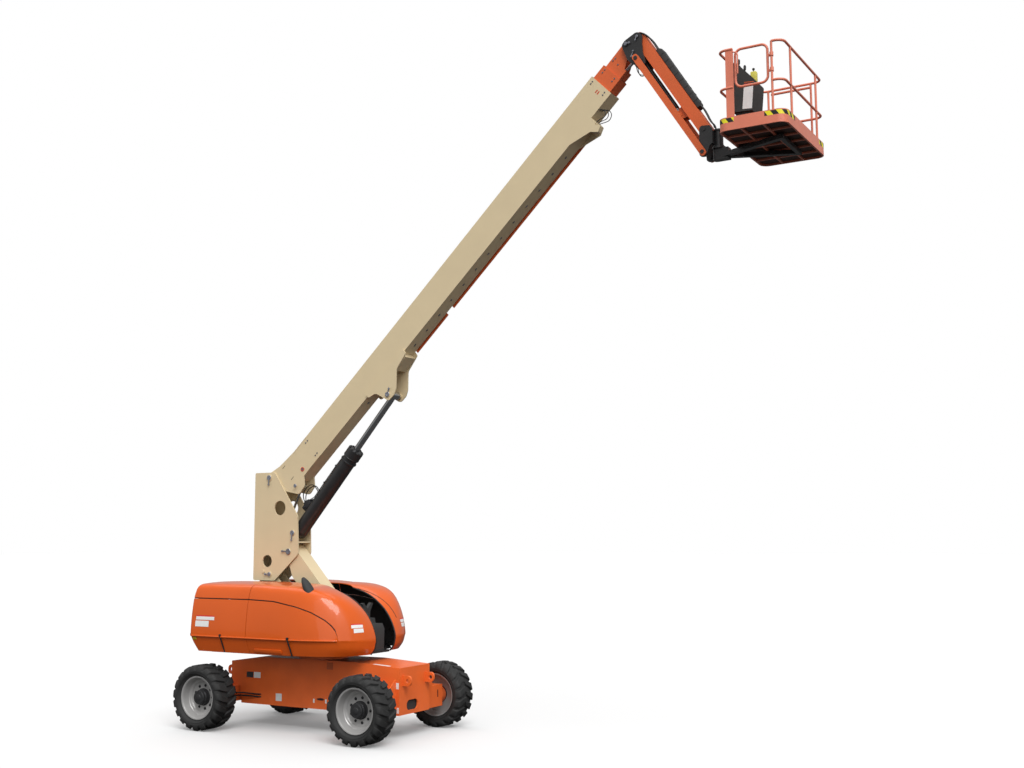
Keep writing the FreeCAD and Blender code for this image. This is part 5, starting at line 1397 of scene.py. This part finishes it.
# ------------------------------------------------------------------ knuckle and jib
@dataclass
class Jib:
    """The hoses, covers and pins from the fly section's nose to the platform bracket."""

    cover_from: float = 0.33
    cover_to: float = 1.47
    top: float = 0.090

    def cover(self) -> None:
        """The black moulded hose cover along the top of the jib beam."""
        across = Matrix.Rotation(math.pi / 2, 4, "X")
        body = [(self.cover_from, self.top), (self.cover_to, self.top), (self.cover_to, self.top + 0.045),
                (self.cover_to - 0.05, self.top + 0.075), (self.cover_from + 0.05, self.top + 0.085),
                (self.cover_from, self.top + 0.05)]
        shell = moved(prism("cover", body, -0.072, 0.072, 0.010, 3), across)
        ribs = []
        for i in range(8):
            x = self.cover_from + 0.11 + i * 0.13
            outline = rectangle(x - 0.012, self.top, x + 0.012, self.top + 0.081)
            ribs.append(moved(prism("rib", outline, -0.076, 0.076, 0.004), across))
        cover = joined("jib_hose_cover", [shell, *ribs])
        mounted(moved(cover, pitched(JIB.at(0, 0), JIB.angle)), "jib_beam", PLASTIC)

    def over_knuckle(self) -> None:
        """The hoses that arc from the fly section over the knuckle to the jib's cover."""
        runs = []
        for k in range(4):
            y, tucked = -0.110 + 0.034 * k, -0.045 + 0.03 * k
            arc = ((5.40, 9.97), (5.46, 10.08), (5.56, 10.135), (5.66, 10.150), (5.74, 10.11))
            points = [*((x, y, z) for x, z in arc), JIB.at(0.14, 0.13, y), JIB.at(0.27, 0.125, tucked),
                      JIB.at(0.40, 0.11, tucked)]
            runs.append(hose("run", points, 0.011))
        piece = joined("knuckle_hoses", runs)
        tuple(JIB.at(0.30, 0.14))
        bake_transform(piece)
        LOG.info("knuckle_hoses bend between knuckle and jib_beam")

    def under_fly(self) -> None:
        """The loops of thin hose that hang beside the jib link."""
        loops = []
        for y, sag in ((-0.13, 0.0), (-0.115, 0.02)):
            line = ((5.60, 9.80), (5.60 + sag, 9.62), (5.66, 9.50 - sag), (5.76, 9.50), (5.80, 9.56))
            loops.append(hose("loop", [(x, y, z) for x, z in line], 0.0055))
        mounted(joined("link_hose_loops", loops), "jib_link", HOSE_RUBBER)

    def to_platform(self) -> None:
        """The hoses from the jib's cover round the bracket and under the platform."""
        runs = []
        for k in range(3):
            y = -0.03 + 0.03 * k
            points = [JIB.at(1.30, 0.13, y), JIB.at(1.42, 0.14, y), JIB.at(1.55, 0.15, y), (6.66, y, 8.68),
                      (6.72, y, 8.62), (6.72, y, 8.58)]
            runs.append(hose("run", points, 0.010))
        piece = joined("bracket_hoses", runs)
        tuple(JIB.at(1.45, 0.14))
        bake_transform(piece)
        LOG.info("bracket_hoses bend between jib_beam and bracket")

    def build(self) -> None:
        """Builds the jib's fittings."""
        self.cover()
        self.over_knuckle()
        self.under_fly()
        self.to_platform()
        pin_set("knuckle_pins", "knuckle", [
            Pin(JIB.origin, (5.612, 10.03), 0.018), Pin((5.455, 10.006), (5.515, 10.008), 0.026),
            Pin((5.547, 9.801), (5.575, 9.87), 0.018)], 0.1625)


# ------------------------------------------------------------------ platform
@dataclass
class Platform:
    """The work platform's floor mesh, tape, plates and controls."""

    half: float = 0.900
    rear: float = 7.080
    front: float = 8.000
    floor: float = 8.234
    toe_top: float = 8.375
    corner: float = 0.125
    pitch: float = 0.030
    tape_off: float = 0.0005

    def edge(self, inset: float, count: int = 10) -> list[tuple[float, float]]:
        """The platform's rounded outline in plan, anticlockwise from the rear right corner."""
        radius = self.corner - inset
        back, fore = self.rear + self.corner, self.front - self.corner
        right, left = self.corner - self.half, self.half - self.corner
        spots = []
        for cx, cy, start in ((back, right, 180), (fore, right, 270), (fore, left, 0), (back, left, 90)):
            for i in range(count + 1):
                turn = math.radians(start + 90 * i / count)
                spots.append((cx + radius * math.cos(turn), cy + radius * math.sin(turn)))
        return spots

    def mesh_floor(self) -> None:
        """The expanded metal floor, as crossed bars."""
        rows = []
        inset = 0.012
        x0, x1, y0, y1 = self.rear + inset, self.front - inset, inset - self.half, self.half - inset
        middle = (x0 + x1) / 2
        for length, start, end, layer in ((x1 - x0, (middle, y0), (middle, y1), 1),
                                          (y1 - y0, (x0, 0.0), (x1, 0.0), 0)):
            reach = length / 2 - 0.06
            bar = rounded_box("bar", (-0.003, -reach, -0.002), (0.003, reach, 0.002), 0.0)
            height = self.floor + 0.003 + 0.003 * layer
            path = path_of([(*start, height), (*end, height)], 2)
            rows.append(grown("bars", path, Repeats.row(), Piece=bar, Pitch=self.pitch,
                              Finish=BLACK_STEEL.material()))
        mounted(joined("floor_mesh", rows), "platform", BLACK_STEEL)

    def floor_shade_sheet(self) -> None:
        """A dark sheet under the floor mesh: painted shade for the floor as it shows from below, between the
        ribs.
        """
        sheet = prism("floor_mesh_under", self.edge(0.03), self.floor - 0.0085, self.floor - 0.0045, 0.0)
        mounted(sheet, "platform", MESH_SHADE)

    def tape(self) -> None:
        """The striped tape round the platform's corners."""
        spots = self.edge(-self.tape_off, 12)
        spots.append(spots[0])
        lengths = [0.0]
        for here, there in zip(spots, spots[1:]):
            lengths.append(lengths[-1] + math.dist(here, there))
        total = lengths[-1]
        side = 2 * (self.half - self.corner)
        end = self.front - self.rear - 2 * self.corner
        bend = math.pi / 2 * (self.corner + self.tape_off)
        runs = ((-0.02, bend + 0.10), (bend + end - 0.16, 2 * bend + end + 0.25),
                (2 * bend + end + side - 0.20, 3 * bend + end + side + 0.16),
                (3 * bend + 2 * end + side - 0.16, total - side + 0.12))
        made = [self.tape_strip(spots, lengths, max(first, 0.0), min(last, total)) for first, last in runs]
        mounted(joined("corner_tape", made), "platform", HAZARD)

    def tape_strip(self, spots: list[tuple[float, float]], lengths: list[float],
                   first: float, last: float) -> bpy.types.Object:
        """One length of tape between two distances round the platform's edge."""
        shape = bmesh.new()
        layer = shape.loops.layers.uv.new("along")
        low, high = self.toe_top - 0.072, self.toe_top - 0.012
        cuts = [first] + [d for d in lengths if first < d < last] + [last]
        columns = []
        for d in cuts:
            i = max(k for k in range(len(lengths) - 1) if lengths[k] <= d)
            t = (d - lengths[i]) / max(lengths[i + 1] - lengths[i], 1e-9)
            x = spots[i][0] + (spots[i + 1][0] - spots[i][0]) * t
            y = spots[i][1] + (spots[i + 1][1] - spots[i][1]) * t
            columns.append((d, shape.verts.new((x, y, low)), shape.verts.new((x, y, high))))
        for (d0, a, b), (d1, c, e) in zip(columns, columns[1:]):
            face = shape.faces.new((a, c, e, b))
            for loop, uv in zip(face.loops, ((d0, 0.0), (d1, 0.0), (d1, high - low), (d0, high - low))):
                loop[layer].uv = uv
        return as_drawn("strip", shape)

    def controls(self) -> None:
        """The joysticks, switches, warning lamp and plate of the platform's control box."""
        low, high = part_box("control_console")
        top = high.z - 0.03
        sticks = []
        for y in (low.y + 0.09, high.y - 0.09):
            boot = revolved("boot", [(0, 0), (0.034, 0), (0.034, 0.006), (0.026, 0.012), (0.028, 0.018),
                                     (0.019, 0.025), (0.020, 0.031), (0.011, 0.04), (0, 0.04)], 24)
            grip = revolved("grip", [(0, 0.03), (0.008, 0.03), (0.008, 0.05), (0.016, 0.06), (0.019, 0.09),
                                     (0.017, 0.115), (0.010, 0.125), (0, 0.127)], 24)
            for piece in (boot, grip):
                sticks.append(moved(piece, Matrix.Translation((low.x + 0.10, y, top - 0.04))))
        mounted(joined("control_sticks", sticks), "platform", PLASTIC)
        lean = pitched((7.385, low.y, 8.745), -5) @ side_frame(0.0, -1)
        mounted(plate("control_plate", 0.13, 0.34, lean), "platform", PANEL_PLATE)
        line = plate("control_line", 0.13, 0.010, lean @ Matrix.Translation((0, 0.19, 0)))
        mounted(line, "platform", BOOM_ORANGE)
        box = rounded_box("switch_box", (7.32, high.y - 0.11, 9.03), (7.40, high.y - 0.03, 9.195), 0.012)
        mounted(box, "platform", YELLOW)
        knob = revolved("knob", [(0, 0), (0.008, 0), (0.008, 0.03), (0.018, 0.034), (0.018, 0.05),
                                 (0.012, 0.058), (0, 0.058)], 20)
        mounted(moved(knob, Matrix.Translation((7.355, high.y - 0.07, 9.193))), "platform", PLASTIC)

    def build(self) -> None:
        """Builds the platform's fittings."""
        self.mesh_floor()
        self.floor_shade_sheet()
        self.tape()
        self.controls()


# ------------------------------------------------------------------ chassis and hood fittings
@dataclass
class Chassis:
    """The chassis' cover, plates, and the painted shade in its oval opening, port and slots."""

    half: float = 0.400
    sign: tuple[float, float] = (0.07, 0.045)
    oval: tuple[float, float] = (0.075, 0.018)
    slope: float = math.atan2(0.05, 0.84)

    def at(self, side: int, x: float, z: float) -> Matrix:
        """A placement on the chassis' side face, with local Z outwards."""
        return side_frame(self.half * side, side) @ Matrix.Translation((x, z, 0))

    def plates(self, word: str, side: int) -> None:
        """The blank plates, the two-part sign, a dark oval of painted shade in the side's oval opening and
        the aged patch of one side.
        """
        marks = [plate("mark", wide, tall, self.at(side, x, z)) for x, z, wide, tall in (
            (-0.568, 0.48, 0.12, 0.115), (0.135, 0.47, 0.03, 0.06), (0.37, 0.475, 0.03, 0.06),
            (1.706, 0.78, 0.05, 0.09), (1.716, 0.425, 0.04, 0.085))]
        mounted(joined(f"chassis_plates_{word}", marks), "chassis", PLATE)
        wide, tall = self.sign
        for name, x, finish in (("dark", -1.17, PLASTIC), ("pale", -1.02, PLATE)):
            sign = prism(f"{name}_sign_{word}", rectangle(-wide, -tall, wide, tall), 0, 0.0016, 0.0005, 1)
            mounted(moved(sign, self.at(side, x, 0.80)), "chassis", finish)
        # A thin dark oval plate on the side: painted shade where the oval opening is.
        turns = [k * math.pi / 12 for k in range(24)]
        oval = [(self.oval[0] * math.cos(turn), self.oval[1] * math.sin(turn)) for turn in turns]
        oval_shade = prism(f"chassis_hole_{word}", oval, 0, 0.0012, 0.0, 1)
        mounted(moved(oval_shade, self.at(side, 0.265, 0.50)), "chassis", TRIM_RUBBER)
        patch = plate(f"chassis_patch_{word}", 0.12, 0.107, self.at(side, 0.44, 1.01))
        mounted(patch, "chassis", AGED_ORANGE)

    def rear(self, word: str, side: int) -> None:
        """The steering hoses towards the rear axle, and a thin dark plate of painted shade in the slot at its
        end.
        """
        runs = []
        for z in (0.465, 0.505):
            line = ((-0.93, 0.396, 0), (-0.99, 0.425, 0), (-1.15, 0.45, 0.012), (-1.30, 0.48, 0.015),
                    (-1.46, 0.52, 0))
            runs.append(hose("run", [(x, y * side, z + rise) for x, y, rise in line], 0.011))
        mounted(joined(f"steering_hoses_{word}", runs), "chassis", HOSE_RUBBER)
        y = 0.73 * side
        # Painted shade: a thin dark plate that darkens the axle box's slot.
        slot = rounded_box(f"axle_slot_{word}", (1.6745, y - 0.011, 0.495), (1.6762, y + 0.011, 0.605), 0.0)
        mounted(slot, "chassis", TRIM_RUBBER)

    def build(self) -> None:
        """Builds the chassis fittings."""
        for word, side in SIDES:
            self.plates(word, side)
            self.rear(word, side)
        # Painted shade: a dark plate set in the front port so that its inside reads dark.
        port_shade_plate = rounded_box("port_baffle", (1.695, -0.23, 0.38), (1.705, 0.11, 0.58), 0.0)
        mounted(port_shade_plate, "chassis", PLASTIC)
        strip = rounded_box("deck_strip", (-0.15, -0.03, -0.001), (0.15, 0.03, 0.001), 0.0)
        moved(strip, Matrix.Translation((1.37, -0.33, 1.063)) @ Matrix.Rotation(self.slope, 4, "Y"))
        mounted(strip, "chassis", PLATE)


@dataclass
class HoodFittings:
    """The latches, handles, plates, tape and edge trim on the hoods."""

    outer: float = 1.200

    def latch(self, x: float, side: int) -> list[bpy.types.Object]:
        """A rubber strap latch from the side panel down to the hood's bottom edge."""
        line = ((0, 0.004, 1.475), (0.004, 0.010, 1.455), (0.012, -0.012, 1.40), (0.02, -0.072, 1.26),
                (0.022, -0.092, 1.215))
        points = [(x + along, (self.outer + out) * side, z) for along, out, z in line]
        strap = hose("strap", points, 0.011, TRIM_RUBBER, 3, 10)
        knob = rounded_box("knob", (x - 0.018, -0.012, 1.455), (x + 0.018, 0.012, 1.492), 0.005)
        return [strap, moved(knob, Matrix.Translation((0, (self.outer + 0.004) * side, 0)))]

    def labels(self, hood: Hood) -> list[tuple[bpy.types.Object, Finish]]:
        """The blank plates on a hood's side and nose, and the corner's tape.

        Args:
            hood: the hood, whose left-hand skin the pieces lie on.

        Returns:
            Each piece with its finish, on the left side of the machine.
        """
        spots = [(hood.share_at(-1.41, 1.735), 0.38, 0.07, RED_PLATE),
                 (hood.share_at(-1.47, 1.64), 0.28, 0.09, PLATE),
                 (hood.share_at(-1.635, 1.412), 0.07, 0.045, HAZARD),
                 ((0.90, 0.545), 0.20, 0.065, RED_PLATE), ((0.905, 0.60), 0.17, 0.06, PLATE)]
        return [(hood.decal(at, wide, tall, finish), finish) for at, wide, tall, finish in spots]

    def handle(self) -> bpy.types.Object:
        """The pressed grip in the lower panel."""
        lean = Matrix.Rotation(math.radians(19.6), 4, "X")
        bar = rounded_box("grip", (-0.27, -0.012, -0.030), (0.27, 0.012, 0.030), 0.010)
        return moved(bar, Matrix.Translation((-0.17, 1.134, 1.268)) @ lean.inverted())

    def cowl(self) -> bpy.types.Object:
        """The black drop-shaped cowl on the right hood's roof."""
        body = revolved("air_cowl", [(0, -0.12), (0.050, -0.12), (0.066, -0.04), (0.068, 0.05), (0.060, 0.13),
                                     (0.044, 0.20), (0.022, 0.25), (0, 0.265)], 28)
        return moved(body, pitched((0.475, -0.95, 2.155), 34) @ Matrix.Diagonal((1.0, 1.25, 1.0, 1.0)))

    @staticmethod
    def nose_joint(hood: Hood) -> bpy.types.Object:
        """The joint between the left hood's nose and the band along its inner edge."""
        spots = [hood.surface(0.972 - 0.016 * k / 24, 0.03 + 0.44 * k / 24) for k in range(25)]
        return hose("nose_joint_left", [tuple(spot) for spot in spots], 0.005, TRIM_RUBBER, 3, 8)

    def build(self, hoods: dict[str, Hood]) -> None:
        """Builds the fittings of both hoods."""
        for word, side in SIDES:
            body, hood = f"{word}_hood", hoods[word]
            mirror = Matrix.Scale(side, 4, (0, 1, 0))
            parts = [piece for x in (-1.08, 0.26) for piece in self.latch(x, side)]
            mounted(joined(f"latches_{word}", parts), body, TRIM_RUBBER)
            edge = [hood.surface(1.0, k / 40) for k in range(41)]
            lead = [(spot.x, spot.y * side, spot.z) for spot in edge]
            mounted(hose(f"nose_trim_{word}", lead, 0.012, TRIM_RUBBER, 3, 10), body, TRIM_RUBBER)
            for index, (item, finish) in enumerate(self.labels(hood)):
                item.name = f"hood_label_{word}_{index}"
                mounted(moved(item, mirror), body, finish)
            grip = moved(self.handle(), mirror)
            grip.name = f"hood_grip_{word}"
            mounted(grip, body, HOOD_ORANGE)
        mounted(self.cowl(), "right_hood", PLASTIC)
        mounted(self.nose_joint(hoods["left"]), "left_hood", TRIM_RUBBER)


# ------------------------------------------------------------------ stage
@dataclass
class Stage:
    """The pale floor, the soft studio light and the camera."""

    eye: tuple[float, float, float] = (12.44587, -15.58306, 3.02466)
    azimuth: float = 29.97735
    pitch: float = 6.96262
    roll: float = -0.232
    focal: float = 1221.61
    image_width: float = 1024.0
    sensor: float = 36.0
    floor_tone: float = 0.58
    floor_bounce: float = 0.06
    floor_glow: float = 0.14
    sky_strength: float = 0.72
    sky_gloss: float = 0.42

    def camera(self) -> None:
        """Sets up the camera."""
        lens = bpy.data.cameras.new("camera")
        lens.sensor_width = self.sensor
        lens.lens = self.focal * self.sensor / self.image_width
        lens.clip_end = 200
        camera = bpy.data.objects.new("camera", lens)
        bpy.context.scene.collection.objects.link(camera)
        a, e = math.radians(self.azimuth), math.radians(self.pitch)
        forward = Vector((-math.sin(a) * math.cos(e), math.cos(a) * math.cos(e), math.sin(e)))
        turn = forward.to_track_quat("-Z", "Y").to_matrix().to_4x4()
        roll = Matrix.Rotation(math.radians(self.roll), 4, "Z")
        camera.matrix_world = Matrix.Translation(self.eye) @ turn @ roll
        bpy.context.scene.camera = camera

    def floor(self) -> None:
        """Lays the floor, which stays white to the camera and keeps the object's shadow."""
        floor = rounded_box("floor", (-150, -150, -0.02), (150, 150, 0.0), 0.0)
        material = bpy.data.materials.new("studio_floor")
        material.use_nodes = True
        graph = Graph(material.node_tree)
        graph.tree.nodes.clear()
        seen = graph.add("ShaderNodeLightPath")
        tone = graph.math("MULTIPLY_ADD", seen.outputs["Is Camera Ray"],
                          self.floor_tone - self.floor_bounce, self.floor_bounce)
        matt = graph.add("ShaderNodeBsdfDiffuse", {"Color": tone})
        glow = graph.add("ShaderNodeEmission", {"Color": (1, 1, 1, 1), "Strength": self.floor_glow})
        off = graph.add("ShaderNodeEmission", {"Color": (0, 0, 0, 1), "Strength": 0.0})
        either = graph.add("ShaderNodeMixShader", {
            0: seen.outputs["Is Camera Ray"], 1: off.outputs[0], 2: glow.outputs[0]})
        both = graph.add("ShaderNodeAddShader", {0: matt.outputs[0], 1: either.outputs[0]})
        graph.add("ShaderNodeOutputMaterial", {0: both.outputs[0]})
        floor.data.materials.append(material)

    def sky(self) -> None:
        """An even surround that the camera sees as white."""
        world = bpy.data.worlds.new("studio")
        world.use_nodes = True
        bpy.context.scene.world = world
        graph = Graph(world.node_tree)
        graph.tree.nodes.clear()
        seen = graph.add("ShaderNodeLightPath")
        level = graph.math("MULTIPLY_ADD", seen.outputs["Is Glossy Ray"],
                           self.sky_gloss - self.sky_strength, self.sky_strength)
        light = graph.add("ShaderNodeBackground", {"Color": (1, 1, 1, 1), "Strength": level})
        white = graph.add("ShaderNodeBackground", {"Color": (1, 1, 1, 1), "Strength": 1.0})
        mixed = graph.add("ShaderNodeMixShader", {
            0: seen.outputs["Is Camera Ray"], 1: light.outputs[0], 2: white.outputs[0]})
        graph.add("ShaderNodeOutputWorld", {0: mixed.outputs[0]})

    def sun(self, name: str, towards: Point, strength: float, spread: float) -> None:
        """One large soft light, the same over the whole machine.

        Args:
            name: what the light is called.
            towards: the direction from the machine to the light.
            strength: its strength in watts a square metre.
            spread: its width in degrees.
        """
        light = bpy.data.lights.new(name, "SUN")
        light.energy = strength
        light.angle = math.radians(spread)
        lamp = bpy.data.objects.new(name, light)
        bpy.context.scene.collection.objects.link(lamp)
        lamp.matrix_world = facing(towards)

    def build(self) -> None:
        """Builds the stage."""
        self.camera()
        self.floor()
        self.sky()
        self.sun("key", (0.48, -0.46, 0.75), 2.15, 34.0)
        self.sun("top", (-0.25, 0.10, 0.96), 0.8, 60.0)
        self.sun("fill", (0.58, -0.76, 0.30), 0.75, 70.0)
        bpy.context.scene.view_settings.view_transform = "Standard"


# ------------------------------------------------------------------ the frame's own nodes
def dress_frame(nodes: dict[str, bpy.types.Object]) -> None:
    """Gives every CAD node its finish, and the shown ones soft shading."""
    for name, node in nodes.items():
        finish = CAD_FINISHES.get(name, PLASTIC)
        for slot in node.material_slots:
            slot.material = finish.material()
        if node.hide_render:
            continue
        add_tree(node, Repeats.soft_faces(), Angle=0.55)


def main() -> None:
    """Builds the whole lift in order."""
    logging.basicConfig(level=logging.INFO, format="%(message)s")
    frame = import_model()
    Stage().build()
    for end in ("front", "rear"):
        for name, side in SIDES:
            Wheel(f"{end}_{name}", side).build()
    hoods = {name: Hood(side, f"{name}_hood", 0.18 if name == "left" else 0.03) for name, side in SIDES}
    for hood in hoods.values():
        hood.build()
    HoodFittings().build(hoods)
    Chassis().build()
    Boom().build()
    LiftCylinder().build()
    Jib().build()
    Platform().build()
    dress_frame(frame["nodes"])


if __name__ == "__main__":
    main()
